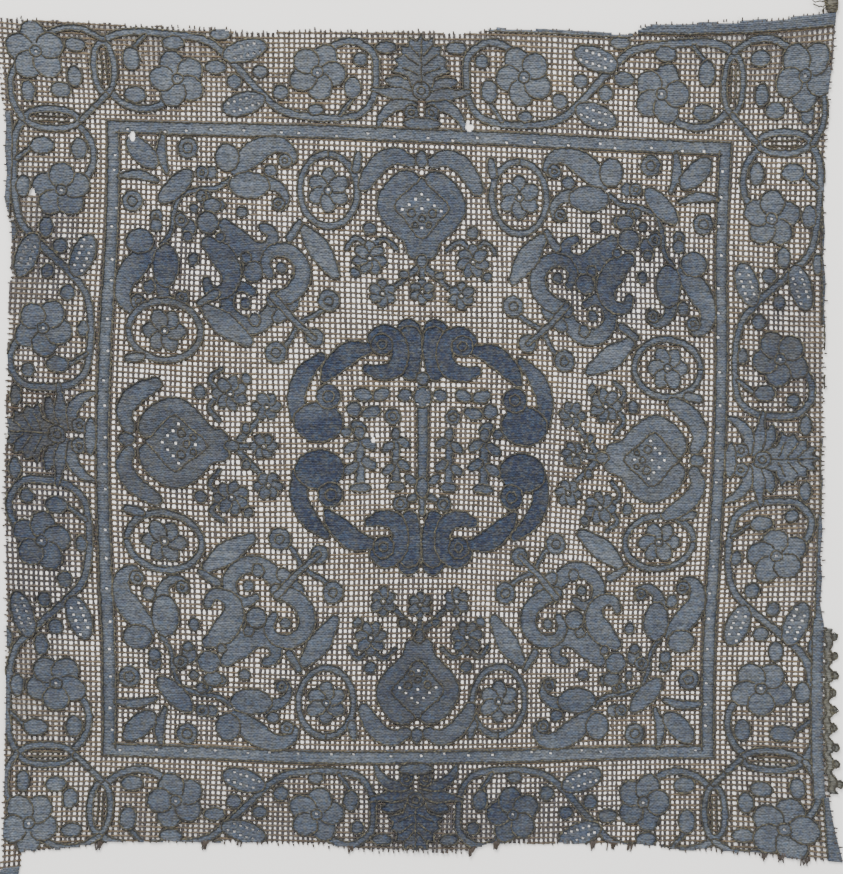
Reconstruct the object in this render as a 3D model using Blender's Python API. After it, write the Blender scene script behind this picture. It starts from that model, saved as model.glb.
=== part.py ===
"""Chalice veil: a square of open net, darned with flowers, leaves and scrolls, laid out flat.

The net and its darning are one cloth and so one solid. A run of scalloped edging is still sewn to its
right edge, and a scrap of the same edging to its top right corner.

Units are metres, +Z up out of the worked face. The origin is the centre of the design, on the surface
that the veil lies on. +Y is the top of the design.

The design is charted in cells of the net, counted from the centre: u to the right and v to the top.
A side of the design has its own chart, (along, out): along is counted clockwise from the middle of the
side, and out is counted from the centre of the veil.
"""
import math

import bmesh
import bpy
import numpy as np
from mathutils.geometry import delaunay_2d_cdt

# The net
PITCH = 0.0032            # one mesh of the net
HALF_CELLS = 80           # the nominal edge lies this many cells from the centre
BAND_AT = 60              # middle of the square inner band
BAND_WIDE = 2.4
BAND_STATIONS = 6

# The solid
CLOTH_THICK = 0.0010
RELIEF = 0.0006           # how far darning and cord stand over the bare net
GAP = 0.0003              # between pieces that touch
STATION = 6.5             # cells between two sections of a stem or scroll
BIG_OVAL = 14.0           # an oval this long and wide together has eight corners, and a smaller one six
TIP_FROM = 1.9            # a stem at least this wide ends in a point, and a thinner one is cut square
MERGE_WITHIN = 1e-5       # corners closer than this are one

# Colours and finish
SILK_BLUE = (0.085, 0.115, 0.165, 1.0)
SILK_BROWN = (0.155, 0.125, 0.085, 1.0)
SILK_ROUGHNESS = 0.62

SIDES = ("top", "right", "bottom", "left")

# How far the net has pulled out of square. Columns: u, v in cells, then the pull in x and y in mm
PULL = [
    (-80, 80, -4.0, 9.0), (-60, 80, -3.6, 4.6), (0, 80, 0.0, 2.1), (60, 80, -1.4, 2.1), (80, 80, 1.5, 6.5),
    (-80, 60, -3.4, 9.2), (-60, 60, -2.4, 6.8), (0, 60, 0.0, 1.4), (60, 60, -3.9, -6.4), (80, 60, -2.9, -5.8),
    (-80, 0, -3.4, 2.5), (-60, 0, -5.5, 1.9), (0, 0, 0.0, 0.0), (60, 0, -6.7, -6.9), (80, 0, -4.8, -8.8),
    (-80, -60, -4.6, 4.5), (-60, -60, -4.9, 0.8), (0, -60, -1.9, -2.4), (60, -60, -10.8, -0.5),
    (80, -60, -5.4, -3.0),
    (-80, -80, -5.9, 2.2), (-60, -80, -6.1, 4.1), (0, -80, -3.1, -0.9), (60, -80, -12.6, -1.5),
    (80, -80, -2.9, -5.2),
]
PULL_KNOTS = (-80, -60, 0, 60, 80)

# The worn edge, one table for each side. Columns: along in cells, how far the cloth reaches past the
# nominal edge in cells, less than nothing where rows of net are lost
WORN_EDGE = {
    "top": [(-80, 0.2), (-77, 0.9), (-73, 0.3), (-62, 0.2), (-49, 0.0), (-38, 0.2), (-34, -0.7), (-27, -0.5),
            (-22, 0.1), (-9, -0.4), (0, 0.0), (5, -0.6), (11, -0.6), (13, 0.5), (20, 0.2), (28, 0.7),
            (45, 0.3), (60, 0.2), (72, 0.4), (80, 1.1)],
    "right": [(-80, 0.5), (-68, 0.3), (-56, -0.2), (-30, 0.3), (0, 0.0), (20, -0.1), (60, 0.0), (68, 1.0),
              (76, 1.5), (80, 1.2)],
    "bottom": [(-80, 0.2), (-66, -0.5), (-55, -0.8), (-44, -2.3), (-28, -2.6), (-15, -2.8), (-10, -0.8),
               (8, -0.7), (14, -1.6), (27, -1.9), (42, -1.8), (60, -1.4), (64, -0.5), (80, 0.0)],
    "left": [(-80, 0.0), (-72, -0.1), (-60, -0.3), (-40, -0.5), (-20, -0.3), (-10, 0.4), (0, -0.3),
             (20, -0.5), (40, -0.6), (44, 0.3), (60, 0.6), (80, 0.4)],
}
EDGE_STEP = 5.0           # cells between two points of the edge
RAGGED = ((0.20, 1.9), (0.16, 3.7))   # height and turn rate of the two waves that roughen the edge

# The frayed tail at the bottom left corner, which hangs on by a few threads. Columns: u, v
TAIL = [(-79.6, -79.0), (-76.4, -79.0), (-76.0, -81.0), (-76.6, -84.8), (-80.0, -85.2), (-80.6, -82.0)]
TAIL_HOLE = [(-79.0, -80.6), (-77.2, -80.6), (-77.2, -82.6), (-79.2, -82.8)]

# Worn holes in the net. Columns: u, v, wide, high
HOLES = [(-56.2, 58.2, 1.0, 2.2), (9.2, 61.9, 1.4, 1.6)]

# Corner of the square panel. Columns: across, out, long, wide, tilt in degrees, and whether it comes again
# on the other side of the corner's diagonal
CORNER_OVALS = [
    (54.3, 55.0, 8.2, 4.4, 45, False), (47.6, 48.4, 9.4, 4.0, -45, False),
    (45.2, 56.2, 4.2, 4.2, 0, True), (37.4, 54.5, 4.8, 5.6, 0, True),
    (33.0, 49.2, 8.2, 5.2, 0, True), (41.2, 41.6, 4.8, 4.8, 0, False),
    (32.2, 32.6, 4.2, 4.2, 0, False), (21.2, 21.4, 4.6, 4.6, 0, False),
    (17.6, 27.8, 4.2, 4.2, 0, True),
]
# Stems and scrolls of the same corner. Columns of each row: across, out, width
CORNER_SCROLLS = {
    "lily petal": [(35.0, 53.8, 3.0), (31.6, 55.8, 4.6), (27.4, 56.9, 2.8), (25.0, 55.2, 1.5)],
    "scroll leaf": [(37.4, 41.0, 2.4), (35.0, 38.2, 4.6), (31.2, 37.0, 3.4), (28.9, 39.2, 2.0),
                    (30.2, 41.0, 1.4)],
    "horn": [(27.6, 28.2, 2.4), (29.4, 24.4, 2.6), (33.4, 22.8, 2.3), (36.9, 26.2, 2.0), (34.6, 29.6, 1.7),
             (32.2, 27.4, 1.3)],
    "trefoil stem": [(28.6, 28.6, 1.3), (21.2, 21.4, 1.1)],
}

# Flower in its ring. Places of the two on each side, in cells along it
RING_FLOWERS_AT = {"top": (-17.6, 19.0), "right": (-17.4, 16.4), "bottom": (-16.6, 18.4),
                   "left": (-18.7, 20.8)}
RING_OUT = 48.9
RING_RADII = (6.1, 7.5)
RING_WIDE = 1.3
RING_CORNERS = 8
RING_FLOWER_RADIUS = 4.1
# Toothed leaf beside the ring. Columns: away from the ring's middle, out, width
RING_LEAF = [(4.4, 41.0, 2.4), (1.6, 37.4, 4.4), (-1.2, 33.0, 2.2)]

# Palmette in the middle of each side. Half outline, columns: along, out
PALMETTE_HALF = [(0.0, 51.4), (2.8, 53.0), (5.8, 51.6), (8.2, 48.6), (8.6, 45.4), (7.0, 42.2), (4.0, 39.8),
                 (0.0, 38.6)]
# Columns: along, out, long, wide, tilt. Those off the middle line come in pairs
PALMETTE_OVALS = [(0.0, 55.6, 2.6, 3.2, 0), (1.9, 37.2, 3.2, 3.8, 0)]
PALMETTE_SCROLLS = {
    "lobe": [(2.2, 55.0, 3.2), (6.8, 54.4, 4.3), (10.8, 50.2, 2.4)],
    "stalk": [(0.0, 35.8, 1.3), (4.6, 31.4, 1.0)],
}
PALMETTE_FLOWER = (9.6, 35.6, 2.9)    # along, out, radius

# One quarter of the wreath. Columns as above: across, out, long, wide, tilt
WREATH_OVALS = [(2.5, 22.3, 4.6, 5.2, 0), (20.2, 4.5, 9.2, 7.4, 0), (17.9, 9.2, 4.8, 5.2, 0)]
WREATH_SCROLLS = {
    "body": [(2.3, 21.0, 4.2), (2.4, 14.6, 3.6)],
    "curl": [(3.4, 19.6, 3.0), (6.4, 22.6, 3.0), (9.2, 20.8, 2.6), (7.8, 18.9, 1.8)],
    "inner lobe": [(3.0, 16.2, 3.6), (9.6, 14.6, 2.4)],
    "shoulder leaf": [(10.4, 18.9, 2.2), (15.4, 17.0, 4.2), (18.9, 12.7, 1.6)],
    "outer leaf": [(19.2, 17.0, 1.8), (23.0, 13.0, 3.4), (23.9, 5.6, 3.4)],
}

# Inside the wreath: a small cross on a long stem, and plain leafy sprigs. Columns: u, v, long, wide, tilt
CENTRE_OVALS = [(0.0, 12.4, 2.4, 3.2, 0), (4.3, 9.0, 2.6, 2.6, 0), (9.4, 8.8, 4.8, 2.8, 20),
                (5.5, 5.4, 3.2, 3.2, 0), (12.2, 1.8, 2.8, 3.4, 0), (3.9, -11.2, 3.0, 3.0, 0)]
CENTRE_SCROLLS = {
    "cross stem": [(0.0, 13.4, 2.0), (0.0, -13.4, 1.4)],
    "cross arm": [(0.0, 9.0, 1.6), (4.2, 9.0, 1.6)],
    "sprig stem": [(12.2, 2.0, 1.2), (12.2, -8.4, 1.4)],
}

# One half of a border side, from its middle to the corner. out is counted from the inner band here.
# Columns: along, out, long, wide, tilt
BORDER_OVALS = [
    (34.2, 5.2, 8.6, 4.6, 163), (34.0, 15.8, 9.0, 4.4, 163),
    (55.8, 13.8, 3.6, 5.0, 0), (55.4, 6.8, 4.6, 3.4, 0), (39.6, 12.2, 4.4, 3.0, 0), (13.2, 8.8, 3.4, 4.6, 0),
    (47.2, 16.9, 4.4, 2.6, 0),
]
BORDER_FLOWERS = [(20.0, 12.2, 5.2), (47.0, 9.8, 5.2)]     # along, out, radius
VINE_WIDE = 1.4
VINE = [(61.0, 17.4), (54.0, 19.4), (45.0, 18.8), (39.4, 16.6), (33.0, 9.8), (27.6, 4.6), (21.0, 2.7),
        (13.4, 3.0), (9.2, 7.0), (8.6, 13.4), (11.6, 17.6), (16.4, 17.4), (19.0, 14.8)]
VINE_BRANCH = [(60.6, 7.2), (56.6, 4.0), (51.6, 4.0), (47.8, 7.2)]
# Carnation in the middle of a border side. Half outline of its plume, columns: along, out
PLUME_HALF = [(0.0, 18.4), (1.4, 16.2), (3.4, 17.0), (3.2, 14.2), (5.4, 13.0), (2.8, 9.8), (0.0, 5.0)]
CARNATION_BASE = (0.0, 3.6, 6.8, 3.4)
CARNATION_SCROLLS = {
    "upper leaf": [(1.4, 7.8, 1.4), (4.6, 9.0, 1.8), (7.8, 7.6, 0.8)],
    "lower leaf": [(1.6, 6.6, 1.2), (5.2, 6.2, 1.6), (7.8, 3.0, 0.8)],
}

# Border corner. Columns: across, out, long, wide, tilt; each comes again across the diagonal
BORDER_CORNER_OVALS = [(66.4, 70.4, 3.2, 4.4, 0)]
BORDER_CORNER_FLOWER = (71.8, 73.8, 5.4)
LINK = (61.2, 71.8, 2.6, 5.8, 1.3)    # across, out, its two radii, width

# Runs of the outer band that are left. Columns: side, from and to in cells along it
OUTER_BAND_RUNS = [("top", 12, 81), ("right", -50, 80), ("left", 47, 82)]
OUTER_BAND = (78.7, 82.5)             # from and to in cells out from the centre; the worn edge trims it

# Scalloped edging on the right edge, in cells
EDGING_FROM, EDGING_TO = 35, 70            # its two ends along the right side
EDGING_VALLEY, EDGING_POINT = 1.2, 2.6     # its width between and at the points
EDGING_PITCH = 3.5
# Scrap over the top right corner. Its foot follows the cloth's edge for this length in mm
SCRAP_FOOT = 5.2
# The rest of its outline. Columns: x, y in mm from the corner of the cloth
SCRAP_OUTLINE = [(-4.2, 4.0), (-5.2, 6.4), (-3.4, 9.6), (0.6, 9.8), (1.0, 5.4)]
# Loose thread ends of the scrap. Columns of each row: x, y in mm from the same corner
SCRAP_THREADS = [[(-3.0, 4.6), (-7.0, 3.2), (-10.2, 3.6), (-12.6, 4.4)],
                 [(-3.4, 5.6), (-7.6, 6.6), (-9.4, 8.8), (-11.4, 9.6)],
                 [(-2.0, 8.4), (-5.8, 10.2), (-8.6, 11.4)]]
THREAD_WIDE = 1.1         # mm


def clear_scene():
    for old in list(bpy.data.objects):
        bpy.data.objects.remove(old, do_unlink=True)


def new_collection(name):
    collection = bpy.data.collections.new(name)
    bpy.context.scene.collection.children.link(collection)
    return collection


def silk(name, colour):
    material = bpy.data.materials.new(name)
    material.use_nodes = True
    shader = material.node_tree.nodes["Principled BSDF"]
    shader.inputs["Base Color"].default_value = colour
    shader.inputs["Roughness"].default_value = SILK_ROUGHNESS
    shader.inputs["Metallic"].default_value = 0.0
    return material


# Outlines in cells: every function gives closed loops as arrays of (u, v)

def oval(u, v, long, wide, tilt=0.0):
    points = 6 if long + wide < BIG_OVAL else 8
    turn = math.radians(tilt)
    angles = np.arange(points) * 2 * math.pi / points
    along = 0.5 * long * np.cos(angles)
    across = 0.5 * wide * np.sin(angles)
    return np.column_stack((u + along * math.cos(turn) - across * math.sin(turn),
                            v + along * math.sin(turn) + across * math.cos(turn)))


def flower(u, v, radius, petals=5, notch=0.62):
    """A round flower: each petal has a point on its rim, and a notch follows it."""
    reach = radius * np.tile((1.05, notch), petals)
    angles = math.pi / 2 + np.arange(2 * petals) * math.pi / petals
    return np.column_stack((u + reach * np.cos(angles), v + reach * np.sin(angles)))


def smooth_line(rows):
    """Points of a soft curve through the rows, about STATION cells apart. Any columns are carried along."""
    rows = np.array(rows, dtype=float)
    ends = np.vstack((2 * rows[0] - rows[1], rows, 2 * rows[-1] - rows[-2]))
    line = []
    for before, start, end, after in zip(ends, ends[1:], ends[2:], ends[3:]):
        count = max(1, round(math.dist(start[:2], end[:2]) / STATION))
        for t in np.arange(count) / count:
            line.append(0.5 * (2 * start + (end - before) * t
                               + (2 * before - 5 * start + 4 * end - after) * t ** 2
                               + (3 * start - before - 3 * end + after) * t ** 3))
    line.append(rows[-1])
    return np.array(line)


def scroll(rows):
    """A stem, leaf or scroll whose rows give its middle line and its width."""
    line = smooth_line(rows)
    heading = np.gradient(line[:, :2], axis=0)
    heading /= np.linalg.norm(heading, axis=1)[:, None]
    square = np.column_stack((-heading[:, 1], heading[:, 0])) * line[:, 2:3] / 2
    loop = [line[:, :2] + square, (line[:, :2] - square)[::-1]]
    if line[-1, 2] >= TIP_FROM:
        loop.insert(1, line[-1, :2] + heading[-1] * line[-1, 2] / 2)
    if line[0, 2] >= TIP_FROM:
        loop.insert(0, line[0, :2] - heading[0] * line[0, 2] / 2)
    return np.vstack(loop)


def vine(rows, width=VINE_WIDE):
    return scroll([(along, out, width) for along, out in rows])


def ring(u, v, radius_u, radius_v, width):
    """An oval ring, cut open at one place so that it is one loop."""
    angles = np.linspace(0, 2 * math.pi, RING_CORNERS + 1)
    return scroll([(u + (radius_u - width / 2) * math.sin(a), v - (radius_v - width / 2) * math.cos(a), width)
                   for a in angles])


def mirrored_half(half):
    """A closed loop from the half that lies at positive along, whose two ends lie on the middle line."""
    other = [(-along, out) for along, out in half[-2:0:-1]]
    return np.array(list(half) + other)


# Copies of a loop over the veil

def mirror(loops, flip_u, flip_v):
    return [loop * (flip_u, flip_v) for loop in loops]


def in_four_corners(loops):
    return [copy for flip_u in (1, -1) for flip_v in (1, -1) for copy in mirror(loops, flip_u, flip_v)]


def to_side(loops, side):
    """From a side's chart, (along, out), to the veil's chart, (u, v)."""
    turned = {"top": lambda a, o: (a, o), "right": lambda a, o: (o, -a),
              "bottom": lambda a, o: (-a, -o), "left": lambda a, o: (-o, a)}[side]
    return [np.column_stack(turned(loop[:, 0], loop[:, 1])) for loop in loops]


def on_each_side(loops):
    return [copy for side in SIDES for copy in to_side(loops, side)]


def and_mirrored(loops):
    """The loops and their mirror images over the middle line, save those that lie on it."""
    return loops + [loop * (-1, 1) for loop in loops if abs(loop[:, 0].mean()) > 0.1]


def and_across_diagonal(loops):
    return loops + [loop[:, ::-1] for loop in loops]


# Motifs

def corner_spray():
    once = [oval(*row[:5]) for row in CORNER_OVALS if not row[5]]
    once.append(scroll(CORNER_SCROLLS["trefoil stem"]))
    twice = [oval(*row[:5]) for row in CORNER_OVALS if row[5]]
    twice += [scroll(rows) for name, rows in CORNER_SCROLLS.items() if name != "trefoil stem"]
    return in_four_corners(once + and_across_diagonal(twice))


def ring_flowers():
    loops = []
    for side in SIDES:
        for middle in RING_FLOWERS_AT[side]:
            away = math.copysign(1.0, middle)
            group = [ring(middle, RING_OUT, *RING_RADII, RING_WIDE),
                     flower(middle, RING_OUT, RING_FLOWER_RADIUS)]
            group.append(scroll([(middle + away * off, out, width) for off, out, width in RING_LEAF]))
            loops += to_side(group, side)
    return loops


def palmettes():
    loops = [mirrored_half(PALMETTE_HALF), flower(*PALMETTE_FLOWER)]
    loops += [oval(*row) for row in PALMETTE_OVALS]
    loops += [scroll(rows) for rows in PALMETTE_SCROLLS.values()]
    return on_each_side(and_mirrored(loops))


def wreath():
    loops = [oval(*row) for row in WREATH_OVALS] + [scroll(rows) for rows in WREATH_SCROLLS.values()]
    return in_four_corners(loops)


def wreath_centre():
    loops = [oval(*row) for row in CENTRE_OVALS] + [scroll(rows) for rows in CENTRE_SCROLLS.values()]
    return and_mirrored(loops)


def border():
    half = [oval(along, BAND_AT + out, long, wide, tilt) for along, out, long, wide, tilt in BORDER_OVALS]
    half += [flower(along, BAND_AT + out, radius) for along, out, radius in BORDER_FLOWERS]
    half += [vine([(along, BAND_AT + out) for along, out in rows]) for rows in (VINE, VINE_BRANCH)]
    middle = [mirrored_half([(along, BAND_AT + out) for along, out in PLUME_HALF])]
    middle.append(oval(CARNATION_BASE[0], BAND_AT + CARNATION_BASE[1], *CARNATION_BASE[2:]))
    middle += [scroll([(along, BAND_AT + out, width) for along, out, width in rows])
               for rows in CARNATION_SCROLLS.values()]
    return on_each_side(and_mirrored(half + middle))


def border_corners():
    once = [flower(*BORDER_CORNER_FLOWER)]
    twice = [oval(*row) for row in BORDER_CORNER_OVALS] + [ring(*LINK)]
    return in_four_corners(once + and_across_diagonal(twice))


def inner_band():
    """The square band, as four straight runs that meet at its corners."""
    far, near = BAND_AT + BAND_WIDE / 2, BAND_AT - BAND_WIDE / 2
    stations = np.linspace(-far, far, BAND_STATIONS)[:, None]
    outside = np.hstack((stations, np.full_like(stations, far)))
    within = np.hstack((stations, np.full_like(stations, near)))
    return on_each_side([np.vstack((outside, within[::-1]))])


def outer_band():
    loops = []
    for side, start, end in OUTER_BAND_RUNS:
        stations = np.linspace(start, end, 2 + round((end - start) / 20))
        near = np.column_stack((stations, np.full(len(stations), OUTER_BAND[0])))
        far = np.column_stack((stations, np.full(len(stations), OUTER_BAND[1])))
        loops += to_side([np.vstack((far, near[::-1]))], side)
    return loops


# From cells to metres

def basis(position, knot):
    """One Lagrange polynomial of the pull table."""
    value = np.ones_like(position)
    for other in PULL_KNOTS:
        if other != knot:
            value = value * (position - other) / (knot - other)
    return value


def to_metres(points):
    """Places of points given in cells, with the net's pull."""
    points = np.asarray(points, dtype=float)
    u, v = points[:, 0], points[:, 1]
    place = points * PITCH
    inside_u, inside_v = np.clip(u, -84, 84), np.clip(v, -84, 84)
    for knot_u, knot_v, pull_x, pull_y in PULL:
        weight = basis(inside_u, knot_u) * basis(inside_v, knot_v)
        place = place + np.column_stack((weight * pull_x, weight * pull_y)) / 1000
    return place


def edge_reach(side, along):
    table = WORN_EDGE[side]
    reach = np.interp(along, [row[0] for row in table], [row[1] for row in table])
    for height, rate in RAGGED:
        reach = reach + height * math.sin(rate * along + len(side))
    return reach


def worn_run(side, stations):
    """Places on the worn edge of one side."""
    run = np.array([(along, HALF_CELLS + edge_reach(side, along)) for along in stations])
    return to_side([run], side)[0]


def worn_corner(side):
    """Where the worn edge of a side starts, at the end of the side before it."""
    before = SIDES[SIDES.index(side) - 1]
    corner = (-HALF_CELLS - edge_reach(before, HALF_CELLS), HALF_CELLS + edge_reach(side, -HALF_CELLS))
    return to_side([np.array([corner])], side)[0]


def cloth_outline():
    """The worn outline, corner by corner, clockwise from the top left."""
    outline = []
    for side in SIDES:
        stations = np.arange(EDGE_STEP - HALF_CELLS, HALF_CELLS, EDGE_STEP)
        outline += [worn_corner(side), worn_run(side, stations)]
    return np.vstack(outline)


def inside(points, loop):
    """Which points lie within a loop, by its winding."""
    x, y = points[:, 0], points[:, 1]
    turns = np.zeros(len(points), dtype=int)
    for (x0, y0), (x1, y1) in zip(loop, np.roll(loop, -1, axis=0)):
        side = (x1 - x0) * (y - y0) - (x - x0) * (y1 - y0)
        turns += ((y0 <= y) & (y1 > y) & (side > 0)).astype(int)
        turns -= ((y0 > y) & (y1 <= y) & (side < 0)).astype(int)
    return turns != 0


def in_any(points, loops):
    found = np.zeros(len(points), dtype=bool)
    for loop in loops:
        near = np.all((points >= loop.min(axis=0)) & (points <= loop.max(axis=0)), axis=1)
        found[near] |= inside(points[near], loop)
    return found


def triangulate(points, edges):
    """One plane triangulation that holds all the edges: its places, faces and where each place came from."""
    flat = delaunay_2d_cdt([tuple(point) for point in points], edges, [], 0, MERGE_WITHIN)
    return np.array([tuple(place) for place in flat[0]]), np.array(list(flat[2])), flat[3]


def loop_edges(loops):
    edges, first = [], 0
    for loop in loops:
        edges += [(first + i, first + (i + 1) % len(loop)) for i in range(len(loop))]
        first += len(loop)
    return edges


def sort_faces(places, faces, cloth, cuts, motifs):
    """0 for each face off the cloth, 1 for bare net, 2 for darning."""
    middles = places[faces].mean(axis=1)
    on_cloth = in_any(middles, cloth) & ~in_any(middles, cuts)
    return np.where(on_cloth, 1 + in_any(middles, motifs).astype(int), 0)


def region_borders(places, faces, kinds):
    """The edges between faces of unlike kind, with only the points that they use."""
    seen = {}
    for face, kind in zip(faces, kinds):
        for start, end in zip(face, np.roll(face, -1)):
            seen.setdefault((min(start, end), max(start, end)), []).append(kind)
    edges = []
    for edge, sides in seen.items():
        beyond = sides[1] if len(sides) == 2 else 0
        if sides[0] != beyond:
            edges.append(edge)
    used = {point: number for number, point in enumerate(sorted({point for edge in edges for point in edge}))}
    return places[list(used)], [(used[start], used[end]) for start, end in edges]


def finish_solid(bm, name, material, collection):
    bmesh.ops.triangulate(bm, faces=bm.faces[:])
    bmesh.ops.recalc_face_normals(bm, faces=bm.faces[:])
    mesh = bpy.data.meshes.new(name)
    bm.to_mesh(mesh)
    bm.free()
    mesh.materials.append(material)
    collection.objects.link(bpy.data.objects.new(name, mesh))


def close_below(bm, thickness):
    """Walls down from the open rims of a top surface, and an underside between them."""
    rims = [edge for edge in bm.edges if edge.is_boundary]
    top = max(vert.co.z for edge in rims for vert in edge.verts)
    walls = bmesh.ops.extrude_edge_only(bm, edges=rims)["geom"]
    low_edges = [item for item in walls if isinstance(item, bmesh.types.BMEdge) and item.is_boundary]
    for vert in {vert for edge in low_edges for vert in edge.verts}:
        vert.co.z = top - thickness
    return low_edges


def veil_solid(collection, material):
    """The net as one thin slab with the darned design raised on its upper face."""
    outline, tail = to_metres(cloth_outline()), to_metres(TAIL)
    cuts = [to_metres(oval(*row)) for row in HOLES] + [to_metres(TAIL_HOLE)]
    chart = (inner_band() + outer_band() + corner_spray() + ring_flowers() + palmettes() + wreath()
             + wreath_centre() + border() + border_corners())
    motifs = [to_metres(loop) for loop in chart]
    cloth = [outline, tail]

    loops = cloth + cuts + motifs
    places, faces = triangulate(np.vstack(loops), loop_edges(loops))[:2]
    corners, edges = region_borders(places, faces, sort_faces(places, faces, cloth, cuts, motifs))
    places, faces = triangulate(corners, edges)[:2]
    kinds = sort_faces(places, faces, cloth, cuts, motifs)

    bm = bmesh.new()
    verts = [bm.verts.new((x, y, CLOTH_THICK)) for x, y in places]
    darned = []
    for face, kind in zip(faces, kinds):
        if kind > 0:
            made = bm.faces.new([verts[i] for i in face])
            if kind == 2:
                darned.append(made)
    bmesh.ops.delete(bm, geom=[vert for vert in bm.verts if not vert.link_faces], context="VERTS")
    lifted = bmesh.ops.extrude_face_region(bm, geom=darned)["geom"]
    for item in lifted:
        if isinstance(item, bmesh.types.BMVert):
            item.co.z = CLOTH_THICK + RELIEF
    bmesh.ops.delete(bm, geom=[face for face in darned if face.is_valid], context="FACES")

    low_edges = close_below(bm, CLOTH_THICK)
    rim_points, rim_edges, index = [], [], {}
    for edge in low_edges:
        for vert in edge.verts:
            if vert not in index:
                index[vert] = len(rim_points)
                rim_points.append((vert.co.x, vert.co.y))
        rim_edges.append(tuple(index[vert] for vert in edge.verts))
    rim_verts = list(index)
    under, faces, origins = triangulate(rim_points, rim_edges)
    low_verts = [rim_verts[origin[0]] for origin in origins]
    for face in faces[sort_faces(under, faces, cloth, cuts, []) > 0]:
        bm.faces.new([low_verts[i] for i in face])
    finish_solid(bm, "veil", material, collection)


def slab(loops, thickness):
    """A thin flat slab with the joint outline of some loops, in metres."""
    places, faces = triangulate(np.vstack(loops), loop_edges(loops))[:2]
    corners, edges = region_borders(places, faces, sort_faces(places, faces, loops, [], []))
    places, faces = triangulate(corners, edges)[:2]
    bm = bmesh.new()
    verts = [bm.verts.new((x, y, 0.0)) for x, y in places]
    for face in faces[sort_faces(places, faces, loops, [], []) > 0]:
        bm.faces.new([verts[i] for i in face])
    high = bmesh.ops.extrude_face_region(bm, geom=bm.faces[:])["geom"]
    for item in high:
        if isinstance(item, bmesh.types.BMVert):
            item.co.z = thickness
    return bm


def edging_solid(collection, material):
    """The scalloped edging, just clear of the worn right edge."""
    stations = np.arange(EDGING_FROM, EDGING_TO + EDGE_STEP, EDGE_STEP)
    reaches = [HALF_CELLS + edge_reach("right", along) + GAP / PITCH for along in stations]
    outer = []
    for step in range(1 + 2 * round((EDGING_TO - EDGING_FROM) / EDGING_PITCH)):
        along = EDGING_FROM + step * EDGING_PITCH / 2
        width = EDGING_POINT if step % 2 else EDGING_VALLEY
        outer.append((along, np.interp(along, stations, reaches) + width))
    loop = to_side([np.array(list(zip(stations, reaches)) + outer[::-1])], "right")[0]
    finish_solid(slab([to_metres(loop)], CLOTH_THICK + RELIEF), "edging_remnant", material, collection)


def scrap_solid(collection, material):
    """The scrap of edging over the top right corner, with its loose threads, flat on the surface."""
    corner = to_metres(worn_corner("right"))[0]
    along_edge = to_metres(worn_run("top", [HALF_CELLS - EDGE_STEP]))[0] - corner
    along_edge /= np.linalg.norm(along_edge)
    clear = GAP * np.array([along_edge[1], -along_edge[0]])
    foot = [corner + clear, corner + clear + along_edge * SCRAP_FOOT / 1000]
    loops = [np.vstack((foot, np.array(SCRAP_OUTLINE) / 1000 + corner))]
    for rows in SCRAP_THREADS:
        thread = scroll([(x, y, THREAD_WIDE) for x, y in rows])
        loops.append(thread / 1000 + corner)
    finish_solid(slab(loops, CLOTH_THICK), "corner_scrap", material, collection)


def main():
    clear_scene()
    collection = new_collection("chalice_veil")
    blue = silk("blue_silk", SILK_BLUE)
    brown = silk("brown_silk", SILK_BROWN)
    veil_solid(collection, blue)
    edging_solid(collection, brown)
    scrap_solid(collection, brown)


main()
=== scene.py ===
"""Looks of the chalice veil: open silk net, darned in blue-grey floss and outlined with couched cords.

Lengths are in metres unless a name or a table says cells. A cell is one mesh of the net. The design is
charted from the centre of the veil: u to the right and v to the top. Each side has its own chart too,
(along, out): along is counted clockwise from the middle of the side, and out from the centre of the veil.
"""
import math

import bpy
import numpy as np
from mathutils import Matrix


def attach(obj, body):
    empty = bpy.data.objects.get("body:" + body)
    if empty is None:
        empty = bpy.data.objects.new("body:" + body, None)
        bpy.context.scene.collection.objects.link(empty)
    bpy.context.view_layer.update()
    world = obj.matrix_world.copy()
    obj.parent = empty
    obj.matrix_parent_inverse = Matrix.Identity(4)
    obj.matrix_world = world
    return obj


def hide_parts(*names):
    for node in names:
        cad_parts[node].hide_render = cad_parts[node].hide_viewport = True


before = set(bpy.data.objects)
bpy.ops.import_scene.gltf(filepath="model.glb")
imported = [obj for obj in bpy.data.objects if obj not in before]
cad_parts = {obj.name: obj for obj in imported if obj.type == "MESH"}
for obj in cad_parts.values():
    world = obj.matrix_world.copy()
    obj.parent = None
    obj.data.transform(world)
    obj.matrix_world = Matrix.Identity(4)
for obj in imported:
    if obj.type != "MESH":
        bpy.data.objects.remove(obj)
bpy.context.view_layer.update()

RNG = np.random.default_rng(20817)
columns = np.column_stack

PITCH = 0.0032            # one mesh of the net
MM = 0.001
SIDES = ("top", "right", "bottom", "left")
FLOOR = 6.0                   # from the middle of the floor to its edge
VIEW_HIGH = 874 * 0.000625    # the photograph's height in pixels, and metres to a pixel
CAMERA_LENS, SENSOR = 100.0, 36.0    # in millimetres

# In cells
HALF_CELLS = 80           # from the centre to the nominal edge
NET_REACH = 86            # how far from the centre strands are tried
BAND_AT, BAND_WIDE = 60, 2.4
BAND_NEAR, BAND_FAR = BAND_AT - BAND_WIDE / 2, BAND_AT + BAND_WIDE / 2
STEP, FINE_STEP = 0.56, 0.4   # between stations of a cord and of a line
ROW = 1 / 3               # between two threads of the darning
ROWS = 260                # threads from the middle to the top
DARN_ROWS = (np.arange(-ROWS, ROWS) + 0.5) * ROW
LEAST_GAP, SHORTEST, DOT = 0.12, 0.3, 0.25    # between threads, a thread, and half an open dot

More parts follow.
